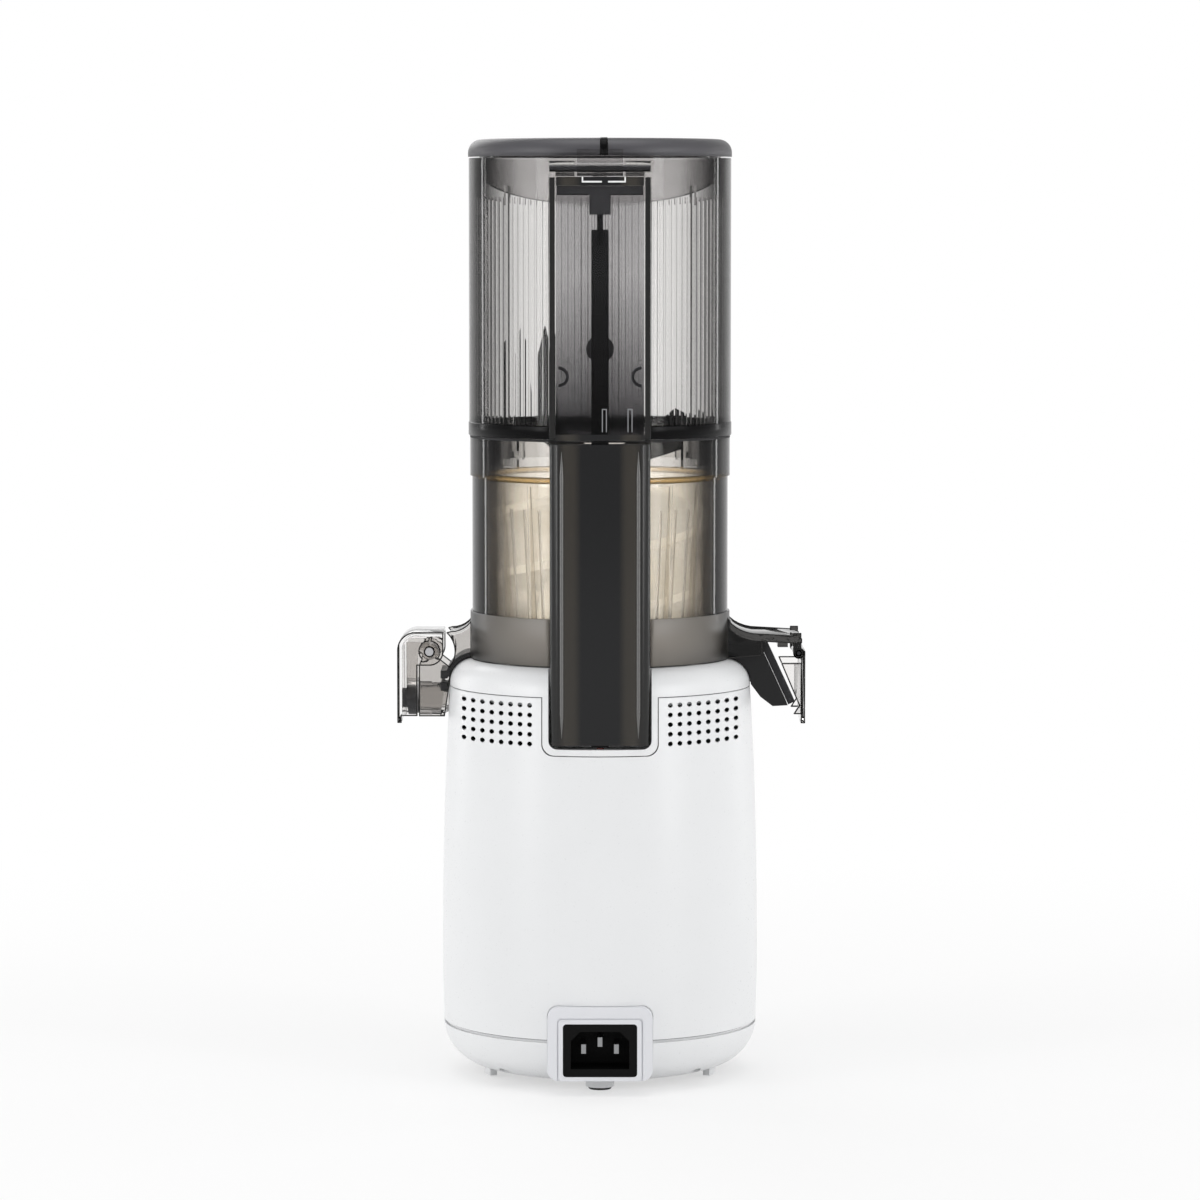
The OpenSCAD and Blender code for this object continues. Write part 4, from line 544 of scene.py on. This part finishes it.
@dataclass
class RingArray:
    """Geometry Nodes tree that repeats a shape round an axis; each field feeds the input of its name."""

    count: int
    radius: float
    start: float = 0.0
    sweep: float = 2 * math.pi
    centre: Place = (0.0, 0.0, 0.0)
    tilt: Place = (0.0, 0.0, 0.0)

    def tree(self, stuff: bpy.types.Material) -> bpy.types.NodeTree:
        """Build the tree with its named inputs.

        Args:
            stuff: the material set on the result.

        Returns:
            The node group.
        """
        group = bpy.data.node_groups.new("ring_array", "GeometryNodeTree")
        face = group.interface
        for name, kind in (("Geometry", "Geometry"), ("Count", "Int"), ("Radius", "Float"),
                           ("Start", "Float"), ("Sweep", "Float"), ("Centre", "Vector"), ("Tilt", "Vector")):
            face.new_socket(name, in_out="INPUT", socket_type="NodeSocket" + kind)
        face.new_socket("Geometry", in_out="OUTPUT", socket_type="NodeSocketGeometry")
        given = add(group, "NodeGroupInput").outputs
        points = add(group, "GeometryNodePoints", {"Count": given["Count"]})
        index = add(group, "GeometryNodeInputIndex")
        share = add(group, "Math", {0: index, 1: given["Count"]}, operation="DIVIDE")
        angle = add(group, "Math", {0: share, 1: given["Sweep"], 2: given["Start"]}, operation="MULTIPLY_ADD")
        ways = [add(group, "Math", {0: angle}, operation=way) for way in ("COSINE", "SINE")]
        ways = [add(group, "Math", {0: way, 1: given["Radius"]}, operation="MULTIPLY") for way in ways]
        place = add(group, "CombineXYZ", dict(enumerate(ways)))
        turn = add(group, "CombineXYZ", {2: angle})
        moved = add(group, "GeometryNodeSetPosition", {"Geometry": points, "Position": place})
        each = add(group, "GeometryNodeInstanceOnPoints",
                   {"Points": moved, "Instance": given["Geometry"], "Rotation": turn})
        put = add(group, "GeometryNodeTransform",
                  {"Geometry": each, "Translation": given["Centre"], "Rotation": given["Tilt"]})
        real = add(group, "GeometryNodeRealizeInstances", {0: put})
        dressed = add(group, "GeometryNodeSetMaterial", {"Geometry": real}, {"Material": stuff})
        add(group, "NodeGroupOutput", {0: dressed})
        return group

    def repeat(self, name: str, unit: bpy.types.Mesh, finish: Finish) -> bpy.types.Mesh:
        """Repeat a mesh and return the plain result.

        Args:
            name: name of the result.
            unit: the shape to repeat, built round the origin.
            finish: its finish.

        Returns:
            One mesh that holds every copy.
        """
        holder = in_scene(bpy.data.objects.new(name + "_array", unit))
        made = holder.modifiers.new("array", "NODES")
        made.node_group = self.tree(finish.build())
        for item in made.node_group.interface.items_tree:
            if item.in_out == "INPUT" and item.name != "Geometry":
                made[item.identifier] = getattr(self, item.name.lower())
        bpy.context.view_layer.update()
        seen = holder.evaluated_get(bpy.context.evaluated_depsgraph_get())
        result = bpy.data.meshes.new_from_object(seen)
        result.name = name
        bpy.data.objects.remove(holder)
        return result


@dataclass
class Base:
    """The motor base with its housing, inlet, knob and feet; sizes in millimetres."""

    # Parting lines: radius, height, and half of the opening in degrees
    top_seam: Place = (64.35, 169.86, 22.4)
    bottom_seam: Place = (67.15, 23.16, 19.0)
    seam_h: float = 0.3
    seam_t: float = 0.6
    seam_steps: int = 180
    # Painted shade line round the spine's liner
    line_half: float = 24.8
    line_low: float = 145.38
    line_corner: float = 5.2
    line_deep: float = 2.6
    line_proud: float = 0.2
    line_step: float = 2.0
    corner_deg: int = 15
    # Knob with its fluting and pointer
    knob_z: float = 96.0
    knob_r: float = 17.5
    knob_far: float = -66.4
    ribs: int = 64
    rib: Box = ((-0.3, -0.45, 0.0), (0.3, 0.45, 4.8), 0.2)
    knob_pointer: Boxes = (((-0.45, -75.12, 100.0), (0.45, -74.9, 109.2), 0.08),)
    # Ticks on the housing
    tick_turns: Place = (-45.0, 0.0, 45.0)
    tick_r: float = 23.0
    tick: Box = ((-1.8, -0.4, -0.3), (1.8, 0.4, 0.22), 0.15)
    ray_from: float = -200.0
    # Screws of the bottom cover; their sides as radius and height
    screws: int = 4
    screw_ring: float = 57.04
    screw_low: float = 12.0
    screw_face: float = 2.378
    screw_side: tuple[tuple[float, float], ...] = (
        (2.9, 0.5), (2.9, 2.5), (1.508, 2.5), (1.508, 26.0), (0.58, 28.4))
    screw_steps: int = 24
    cross_half: float = 1.5
    cross_thin: float = 0.38
    cross_deep: float = 1.3
    cross_taper: float = 0.75

    def knob_trim(self) -> None:
        """Fluting round the knob's rim and the pointer on its grip."""
        unit = bmesh.new()
        block(unit, *self.rib)
        ring = RingArray(self.ribs, self.knob_r * MM, tilt=(math.pi / 2, 0.0, 0.0),
                         centre=(0.0, self.knob_far * MM, self.knob_z * MM))
        mesh = ring.repeat("knob_fluting", plain_mesh("knob_rib", unit), Finishes.silver)
        settle(mesh, Finishes.silver, "knob")
        blocks("knob_pointer", self.knob_pointer, Finishes.nylon_black, "knob")

    def dial_ticks(self) -> None:
        """Three raised ticks on the housing for the knob's stops and its middle."""
        wall = bmesh.new()
        wall.from_mesh(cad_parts["base_housing"].data)
        tree = BVHTree.FromBMesh(wall)
        wall.free()
        work = bmesh.new()
        for turn in map(math.radians, self.tick_turns):
            along = Vector((-math.sin(turn), 0.0, math.cos(turn)))
            start = along * self.tick_r * MM + Vector((0.0, self.ray_from * MM, self.knob_z * MM))
            hit, normal, _, _ = tree.ray_cast(start, Vector((0.0, 1.0, 0.0)))
            along = (along - normal * along.dot(normal)).normalized()
            spin = Matrix((along, normal.cross(along), normal)).transposed().to_4x4()
            spin.translation = hit
            block(work, *self.tick, spin)
        settle(plain_mesh("dial_ticks", work), Finishes.lever, "base")

    def cross_screws(self) -> None:
        """Cross-recessed screws of the bottom cover, in place of the plain ones."""
        work = bmesh.new()
        turn = [2 * math.pi * i / self.screw_steps for i in range(self.screw_steps)]
        rim, *side = [[work.verts.new((r * MM * math.cos(a), r * MM * math.sin(a), z * MM)) for a in turn]
                      for r, z in ((self.screw_face, 0.0), *self.screw_side)]
        wide, thin = self.cross_half * MM, self.cross_thin * MM
        cross = [work.verts.new((x * c - y * s, x * s + y * c, 0.0))
                 for c, s in ((1, 0), (0, 1), (-1, 0), (0, -1))
                 for x, y in ((wide, -thin), (wide, thin), (thin, thin))]
        edges = [work.edges.new((loop[i - 1], loop[i])) for loop in (rim, cross) for i in range(len(loop))]
        bmesh.ops.triangle_fill(work, use_beauty=True, use_dissolve=False, edges=edges)
        for face in [f for f in work.faces if all(v in cross for v in f.verts)]:
            work.faces.remove(face)
        taper, deep = self.cross_taper, self.cross_deep * MM
        floor = [work.verts.new((v.co.x * taper, v.co.y * taper, deep)) for v in cross]
        lace(work, [rim, *side], False)
        lace(work, [cross, floor], False)
        work.faces.new(side[-1])
        work.faces.new(floor)
        ring = RingArray(self.screws, self.screw_ring * MM, start=math.pi / self.screws,
                         centre=(0.0, 0.0, self.screw_low * MM))
        mesh = ring.repeat("cross_screws", plain_mesh("cross_screw", work), Finishes.zinc)
        settle(mesh, Finishes.zinc, "base", ("cover_screws",))

    def seams(self) -> None:
        """Grey strips that lie in the two parting lines and show as fine grey lines: painted shade of the
        grooves.
        """
        for name, (r, z, half) in (("top_seam_shade", self.top_seam), ("bottom_seam_shade", self.bottom_seam)):
            out, top = r + self.seam_t, z + self.seam_h
            mesh = turned(name, ((r, z), (out, z), (out, top), (r, top)), self.seam_steps,
                          *past_spine(half))
            settle(mesh, Finishes.seam_shade, "base")

    def liner_path(self) -> list[tuple[float, float]]:
        """Work out the line round the liner in steps short enough for the round housing.

        Returns:
            Its points as X and Z.
        """
        path = [(-self.line_half, self.top_seam[1])]
        for side, first in ((-1, 180), (1, 270)):
            middle = side * (self.line_half - self.line_corner)
            for a in map(math.radians, range(first, first + 91, self.corner_deg)):
                path.append((middle + self.line_corner * math.cos(a),
                             self.line_low + self.line_corner + self.line_corner * math.sin(a)))
        path.append((self.line_half, self.top_seam[1]))
        dense = []
        for (x0, z0), (x1, z1) in zip(path, path[1:]):
            count = max(1, round(math.hypot(x1 - x0, z1 - z0) / self.line_step))
            dense += [(x0 + (x1 - x0) * i / count, z0 + (z1 - z0) * i / count) for i in range(count)]
        return dense + path[-1:]

    def liner_line(self) -> None:
        """Grey strip in the gap round the notch's liner: painted shade of the gap."""
        path = self.liner_path()
        work = bmesh.new()
        rows = []
        for i, (x, z) in enumerate(path):
            (xa, za), (xb, zb) = path[max(0, i - 1)], path[min(len(path) - 1, i + 1)]
            reach = math.hypot(xb - xa, zb - za) * 2 / self.seam_h
            nx, nz = (za - zb) / reach, (xb - xa) / reach
            out = math.sqrt(self.top_seam[0] ** 2 - x * x) + self.line_proud
            deep = out - self.line_deep
            rows.append([work.verts.new((px * MM, y * MM, pz * MM)) for px, y, pz in (
                (x - nx, deep, z - nz), (x + nx, deep, z + nz),
                (x + nx, out, z + nz), (x - nx, out, z - nz))])
        lace(work, rows)
        settle(plain_mesh("liner_seam_shade", work), Finishes.seam_shade, "base")

    def dress(self) -> None:
        """Finish the carried-over nodes of the base and add its fine pieces."""
        dress(Finishes.casing, "base_housing", "base_top_cover", "base_bottom_cover")
        dress(Finishes.casing_low, "inlet_bezel")
        dress(Finishes.rubber, "rubber_feet", "shaft_seal")
        dress(Finishes.phenolic, "inlet_socket")
        dress(Finishes.nylon_black, "rotary_switch", "interlock_switch")
        dress(Finishes.tinned, "inlet_pins")
        dress(Finishes.silver, "selector_knob")
        dress(Finishes.red, "switch_plunger")
        dress(Finishes.board, "control_board")
        self.seams()
        self.liner_line()
        self.knob_trim()
        self.dial_ticks()
        self.cross_screws()


@dataclass
class Drive:
    """Motor and gearbox inside the base."""

    def dress(self) -> None:
        """Finish the carried-over nodes of the drive."""
        dress(Finishes.steel, "motor_can", "motor_bearings", "gearbox_plate", "motor_shaft",
              "carrier_1", "carrier_2", "drive_shaft")
        dress(Finishes.laminated, "stator_core", "rotor_core")
        dress(Finishes.bronze, "output_bearing")
        dress(Finishes.gear, "gearbox_case", *(f"planet_{s}{k}" for s in (1, 2) for k in "abc"))
        dress(Finishes.nylon_black, "cooling_fan")


@dataclass
class Chamber:
    """The juicing chamber with its strainer, auger and two outlets; sizes in millimetres."""

    # Skin of the cloudy band at the foot, open over a half angle where the spine stands
    foot_band: Outline = ((56.42, 182.4), (56.65, 182.6), (56.65, 202.5), (56.5, 202.8), (56.42, 202.8))
    band_steps: int = 160
    spine_half_deg: float = 22.4
    # Clear rim on the strainer
    strainer_crown: Outline = ((53.15, 260.4), (53.45, 260.6), (53.45, 263.0), (53.15, 263.2))
    # Lip under the juice spout: an arc round the centre of the base's shoulder
    shoulder_r: float = 54.6
    shoulder_z: float = 171.0
    lip_gap: float = 11.35
    lip_t: float = 2.2
    lip_from_deg: float = 97.0
    lip_sweep_deg: float = 84.0
    lip_steps: int = 12
    spout_near: float = -19.5
    spout_far: float = 3.5
    # Its two sealing bars
    bars: Boxes = (((66.6, -19.5, 172.8), (69.8, 3.5, 176.4), 0.4),
                   ((66.6, -19.5, 167.4), (69.8, 3.5, 171.2), 0.4))
    # Rounded edges of the outlets, and the painted shade lines along their cheeks
    spout_round: float = 0.7
    cap_round: float = 0.8
    lever_round: float = 0.6
    canopy_round: float = 1.0
    edge_w: float = 0.55
    # Spine with the beads along its corners, which carry a painted highlight
    spine_round: float = 2.4
    spine_facets: int = 5
    spine_y: float = 65.95
    bead_x: float = 16.3
    bead_half: float = 0.8
    bead_out: float = 0.55
    bead_low: float = 153.0
    bead_high: float = 275.0
    bead_steps: int = 24
    bead_facets: int = 8
    # Share of a bead's width at its ends, and how much it gains a step
    bead_tip: float = 0.12
    bead_growth: float = 0.44

    def spout_seals(self) -> None:
        """Black lip that hugs the base's shoulder under the juice spout, and its two sealing bars."""
        work = bmesh.new()
        rows = []
        near, far = self.spout_near, self.spout_far
        inner, outer = self.lip_gap, self.lip_gap + self.lip_t
        for i in range(self.lip_steps + 1):
            a = math.radians(self.lip_from_deg - self.lip_sweep_deg * i / self.lip_steps)
            rows.append([work.verts.new(((self.shoulder_r + d * math.cos(a)) * MM, y * MM,
                                         (self.shoulder_z + d * math.sin(a)) * MM))
                         for d, y in ((inner, near), (outer, near), (outer, far), (inner, far))])
        lace(work, rows)
        for bar in self.bars:
            block(work, *bar)
        settle(plain_mesh("spout_seals", work), Finishes.silicone, "chamber")

    def spine_beads(self) -> None:
        """Two slim rounded beads along the corners of the spine's face, pale for a painted highlight."""
        work = bmesh.new()
        for side in (-1, 1):
            rows = []
            for i in range(self.bead_steps + 1):
                z = self.bead_low + (self.bead_high - self.bead_low) * i / self.bead_steps
                swell = min(1.0, self.bead_tip + self.bead_growth * min(i, self.bead_steps - i))
                half, out = self.bead_half * swell, self.bead_out * swell
                turn = [math.pi * k / self.bead_facets for k in range(self.bead_facets + 1)]
                rows.append([work.verts.new((side * (self.bead_x + half * math.cos(a)) * MM,
                                             (self.spine_y + out * math.sin(a)) * MM, z * MM)) for a in turn])
            lace(work, rows)
        settle(plain_mesh("spine_beads", work, True), Finishes.bead, "chamber")

    def outlets(self) -> None:
        """Rounded copies of the clear outlets and caps, with painted shade lines where their walls are edge
        on.
        """
        for node, finish, body, width in (
                ("juice_spout", Finishes.smoked_light, "chamber", self.spout_round),
                ("juice_cap", Finishes.clear, "juice_cap", self.cap_round),
                ("pulp_cap", Finishes.clear, "pulp_cap", self.cap_round),
                ("juice_cap_lever", Finishes.smoked_light, "juice_cap", self.lever_round),
                ("pulp_canopy", Finishes.hood, "chamber", self.canopy_round)):
            made = rounded(node, finish, body, width)
            made.visible_shadow = False
            if node != "juice_cap_lever":
                edge_shade_lines(node + "_edges", made, body, self.edge_w)

    def dress(self) -> None:
        """Finish the carried-over nodes of the chamber and add its fine pieces."""
        dress(Finishes.smoked_thick, "chamber_bowl")
        dress(Finishes.silicone, "chamber_seal", "juice_cap_disc", "nozzle_seal", "pulp_flap")
        dress(Finishes.nylon_black, "pulp_duct")
        dress(Finishes.acetal, "feed_blade", "lower_rod")
        dress(Finishes.steel, "juice_cap_pin")
        dress(Finishes.oxide, "pulp_cap_pin")
        dress(Finishes.amber, "strainer")
        dress(Finishes.auger, "auger")
        self.outlets()
        rounded("chamber_spine", Finishes.spine, "chamber", self.spine_round, self.spine_facets)
        self.spine_beads()
        self.spout_seals()
        crown = turned("strainer_crown", self.strainer_crown)
        settle(crown, Finishes.crown, "chamber")
        band = turned("foot_band", self.foot_band, self.band_steps, *past_spine(self.spine_half_deg))
        settle(band, Finishes.frosted, "chamber")


@dataclass
class Hopper:
    """The tall hopper with its flutes, lid and safety rod; sizes in millimetres."""

    # Near-black skin on the thick foot, partly its deep tint and partly painted shade; open over this half
    # angle where the rod's housing stands
    foot_ring: Outline = ((57.12, 279.7), (57.3, 279.8), (57.3, 285.0), (57.12, 285.4))
    spine_half_deg: float = 21.0
    round_steps: int = 160
    # Lid: its top's outline, how far its skin stands off, and the rib over its hinge
    lid_r: float = 57.1
    lid_low: float = 400.1
    lid_high: float = 407.4
    lid_round: float = 5.5
    lid_step_deg: int = 9
    skin_off: float = 0.02
    skin: float = 0.22
    rib: float = 0.484
    rib_deg: float = 3.4
    rib_steps: int = 4
    # Boss behind the rod, and the hooks of its cover
    boss: Outline = ((0.0, 56.4), (5.9, 56.4), (5.9, 59.0), (5.4, 59.5), (0.0, 59.5))
    boss_z: float = 318.3
    hook: Outline = ((3.1, 54.2), (4.4, 54.2), (4.4, 59.5), (3.1, 59.5))
    hook_x: float = 17.6
    hook_z: float = 306.5
    guide_steps: int = 32
    # Dark end faces of the rod housing's side walls, its top wall and its foot wall
    housing_strips: Boxes = (
        ((-21.3, 66.02, 280.4), (-19.05, 66.3, 390.8), 0.12),
        ((-21.6, 59.0, 280.4), (-21.42, 65.8, 390.8), 0.08),
        ((19.05, 66.02, 280.4), (21.3, 66.3, 390.8), 0.12),
        ((21.42, 59.0, 280.4), (21.6, 65.8, 390.8), 0.08),
        ((-18.6, 64.3, 387.15), (18.6, 65.9, 391.0), 0.3),
        ((-18.9, 66.02, 279.7), (18.9, 66.26, 282.4), 0.1))
    # Two pale ribs that show at the foot of the rod's cover
    cover_slots: Boxes = (
        ((-2.9, 66.02, 283.4), (-2.5, 66.24, 293.0), 0.08),
        ((-1.2, 66.02, 283.4), (-0.8, 66.24, 293.0), 0.08),
        ((-2.9, 66.02, 292.8), (-0.8, 66.24, 293.2), 0.08),
        ((-13.75, 66.02, 283.4), (-13.35, 66.24, 293.0), 0.08),
        ((-12.05, 66.02, 283.4), (-11.65, 66.24, 293.0), 0.08),
        ((-13.75, 66.02, 292.8), (-11.65, 66.24, 293.2), 0.08))
    # Sleeve where the upper rod steps down to its thin neck, and the face of the rod's head
    rod_sleeve: Boxes = (((-3.7, 59.9, 361.4), (3.7, 62.9, 368.8), 0.5),)
    rod_head_face: Boxes = (
        ((-18.0, 62.94, 383.7), (18.0, 63.24, 386.9), 0.12),
        ((-4.2, 62.94, 375.2), (4.2, 63.2, 383.9), 0.12))
    # Pale strips on the edges of the opening below the lid's hinge, on both sides of the rod: painted light
    window_light_lines: Boxes = (
        ((-10.6, 65.92, 388.6), (-3.4, 66.22, 389.3), 0.1),
        ((-10.9, 65.92, 388.6), (-10.3, 66.22, 391.0), 0.1),
        ((-0.8, 65.92, 388.6), (7.4, 66.22, 389.3), 0.1),
        ((7.1, 65.92, 388.6), (7.7, 66.22, 391.0), 0.1))

    def lid_outline(self, out: float) -> Outline:
        """Work out half of the outline of the lid's top.

        Args:
            out: how far outside the lid it lies.

        Returns:
            The outline from the rim to the flat top.
        """
        middle_r, middle_z = self.lid_r - self.lid_round, self.lid_high - self.lid_round
        reach = self.lid_round + out
        turn = [math.radians(a) for a in range(0, 91, self.lid_step_deg)]
        return ((self.lid_r + out, self.lid_low),
                *((middle_r + reach * math.cos(a), middle_z + reach * math.sin(a)) for a in turn))

    def lid_top(self) -> None:
        """Cloudy skin over the lid's top and the short rib over its hinge."""
        outer, inner, raised = (self.lid_outline(out) for out in (self.skin, self.skin_off, self.rib))
        middle = ((0.0, self.lid_high + self.skin), (0.0, self.lid_high + self.skin_off))
        settle(turned("lid_skin", outer + middle + inner[::-1], self.round_steps),
               Finishes.lid_top, "lid")
        rib = turned("lid_rib", raised + outer[::-1], self.rib_steps, 90.0, self.rib_deg)
        settle(rib, Finishes.spine_thick, "lid")

    def rod_guides(self) -> None:
        """Round boss behind the upper rod and the two hooks that hold the rod's cover."""
        lay = Matrix.Rotation(-math.pi / 2, 4, "X")
        for name, profile, x, z, start, sweep, finish in (
                ("rod_boss", self.boss, 0.0, self.boss_z, 0.0, 360.0, Finishes.lever_dark),
                ("left_hook", self.hook, self.hook_x, self.hook_z, 90.0, 180.0, Finishes.lever),
                ("right_hook", self.hook, -self.hook_x, self.hook_z, -90.0, 180.0, Finishes.lever)):
            part = turned(name, profile, self.guide_steps, start, sweep)
            part.transform(Matrix.Translation((x * MM, 0.0, z * MM)) @ lay)
            settle(part, finish, "hopper")

    def dress(self) -> None:
        """Finish the carried-over nodes of the hopper and add its fine pieces."""
        dress(Finishes.smoked, "hopper")
        dress(Finishes.veil, "hopper_spine_cover")
        dress(Finishes.lid, "hopper_lid")
        dress(Finishes.rubber, "hopper_gasket")
        dress(Finishes.acetal, "upper_rod")
        dress(Finishes.oxide, "hinge_pin")
        ring = turned("hopper_foot_ring", self.foot_ring, self.round_steps, *past_spine(self.spine_half_deg))
        settle(ring, Finishes.spine_thick, "hopper")
        self.lid_top()
        blocks("housing_strips", self.housing_strips, Finishes.spine, "hopper")
        blocks("cover_slots", self.cover_slots, Finishes.lever, "hopper")
        blocks("rod_sleeve", self.rod_sleeve, Finishes.acetal, "upper_rod")
        blocks("rod_head_face", self.rod_head_face, Finishes.lever_dark, "upper_rod")
        self.rod_guides()
        blocks("window_light_lines", self.window_light_lines, Finishes.edge_light, "hopper")


@dataclass
class Studio:
    """Camera, lamps, floor and world; sizes in metres, the camera's lens and sensor in millimetres."""

    distance: float = 2.14
    height: float = 0.376
    aim: float = 0.207
    lens: float = 147.2
    sensor: float = 36.0
    # Soft boxes: name, place, width, height and power
    lamps: tuple[tuple[str, Place, float, float, float], ...] = (
        ("left_box", (2.1, 0.9, 0.8), 1.2, 1.2, 8.0),
        ("right_box", (-2.1, 0.9, 0.8), 1.2, 1.2, 8.0),
        ("top_box", (0.0, 0.2, 2.0), 1.4, 1.4, 11.0),
        ("front_box", (0.6, -1.8, 1.2), 1.2, 1.2, 8.0),
        ("left_strip", (1.55, 1.2, 0.45), 0.3, 1.2, 6.5),
        ("right_strip", (-1.55, 1.2, 0.45), 0.3, 1.2, 6.5),
        ("left_edge_strip", (1.6, -1.1, 0.35), 0.1, 1.1, 2.6),
        ("right_edge_strip", (-1.6, -1.1, 0.35), 0.1, 1.1, 2.6),
    )
    # Height on the axis that they are turned to
    lamp_aim: float = 0.2
    # Strength of the sky's light, and how white reflections see it from the front round to the side
    sky: float = 0.55
    shine: tuple[float, ...] = (-0.95, -0.7, 1.0, 0.3)
    # Floor: its radius and facets, its colour, and how it turns white away from the juicer
    floor_radius: float = 6.0
    floor_steps: int = 96
    paper: str = "#F4F4F4"
    fade: tuple[float, ...] = (0.12, 0.75, 0.55, 1.0)

    def hang(self, made: bpy.types.Object, place: Place, aim: float) -> None:
        """Put a camera or a lamp in its place and turn it to a height on the axis."""
        made.location = place
        made.rotation_euler = (Vector((0.0, 0.0, aim)) - made.location).to_track_quat("-Z", "Y").to_euler()

    def camera(self) -> None:
        """Place the camera behind the juicer, as in the photograph."""
        data = bpy.data.cameras.new("camera")
        data.lens, data.sensor_width = self.lens, self.sensor
        made = in_scene(bpy.data.objects.new("camera", data))
        self.hang(made, (0.0, self.distance, self.height), self.aim)
        bpy.context.scene.camera = made

    def light(self) -> None:
        """Hang the soft boxes round the juicer."""
        for name, place, wide, high, power in self.lamps:
            data = bpy.data.lights.new(name, "AREA")
            data.shape = "RECTANGLE"
            data.size, data.size_y = wide, high
            data.energy = power
            self.hang(in_scene(bpy.data.objects.new(name, data)), place, self.lamp_aim)

    def seen(self, tree: bpy.types.NodeTree, path: Any, other: Source) -> Source:
        """Give one for camera rays and rays through glass, and another source's value for the rest."""
        for socket in (path["Is Camera Ray"], path["Is Transmission Ray"]):
            other = add(tree, "Math", {0: socket, 1: other}, operation="MAXIMUM")
        return other

    def world(self) -> None:
        """White to the camera and through glass, a plain grey sky for the light."""
        world = bpy.data.worlds.new("studio")
        bpy.context.scene.world = world
        world.use_nodes = True
        tree = world.node_tree
        tree.nodes.clear()
        path = add(tree, "LightPath").outputs
        where = add(tree, "TexCoord").outputs["Generated"]
        behind = add(tree, "SeparateXYZ", {0: where}).outputs["Y"]
        shine = ranged(tree, behind, *self.shine, kind="SMOOTHSTEP")
        shine = add(tree, "Math", {0: shine, 1: path["Is Glossy Ray"]}, operation="MULTIPLY")
        seen = self.seen(tree, path, shine)
        sky, white = (add(tree, "Background", inputs={"Color": (1, 1, 1, 1), "Strength": level})
                      for level in (self.sky, 1.0))
        mixed = add(tree, "MixShader", {0: seen, 1: sky, 2: white})
        add(tree, "OutputWorld", {"Surface": mixed})

    def floor(self) -> None:
        """Lay a pale floor that keeps the juicer's shadow."""
        mesh = bpy.data.meshes.new("floor")
        work = bmesh.new()
        bmesh.ops.create_circle(work, cap_ends=True, segments=self.floor_steps, radius=self.floor_radius)
        work.to_mesh(mesh)
        work.free()
        stuff = bpy.data.materials.new("paper_white")
        stuff.use_nodes = True
        tree = stuff.node_tree
        tree.nodes.clear()
        path = add(tree, "LightPath").outputs
        seen = self.seen(tree, path, path["Is Glossy Ray"])
        paper = add(tree, "BsdfDiffuse", inputs={"Color": linear(self.paper)})
        glow = add(tree, "Emission", inputs={"Color": (1, 1, 1, 1), "Strength": 1.0})
        where = add(tree, "TexCoord").outputs["Object"]
        away = add(tree, "VectorMath", {0: where}, operation="LENGTH").outputs["Value"]
        fade = ranged(tree, away, *self.fade, kind="SMOOTHSTEP")
        share = add(tree, "Math", {0: seen, 1: fade}, operation="MULTIPLY")
        mixed = add(tree, "MixShader", {0: share, 1: paper, 2: glow})
        add(tree, "OutputMaterial", {"Surface": mixed})
        mesh.materials.append(stuff)
        made = in_scene(bpy.data.objects.new("floor", mesh))

    def build(self) -> None:
        """Set up the whole studio."""
        self.camera()
        self.light()
        self.world()
        self.floor()
        bpy.context.scene.view_settings.view_transform = "Standard"


def main() -> None:
    """Build the studio and every sub-assembly, in order."""
    logging.basicConfig(level=logging.INFO, format="%(message)s")
    Studio().build()
    for part in (Base(), Drive(), Chamber(), Hopper()):
        part.dress()
    for name in ("chamber_bowl", "hopper", "hopper_lid", "hopper_spine_cover", "strainer"):
        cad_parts[name].visible_shadow = False


if __name__ == "__main__":
    main()
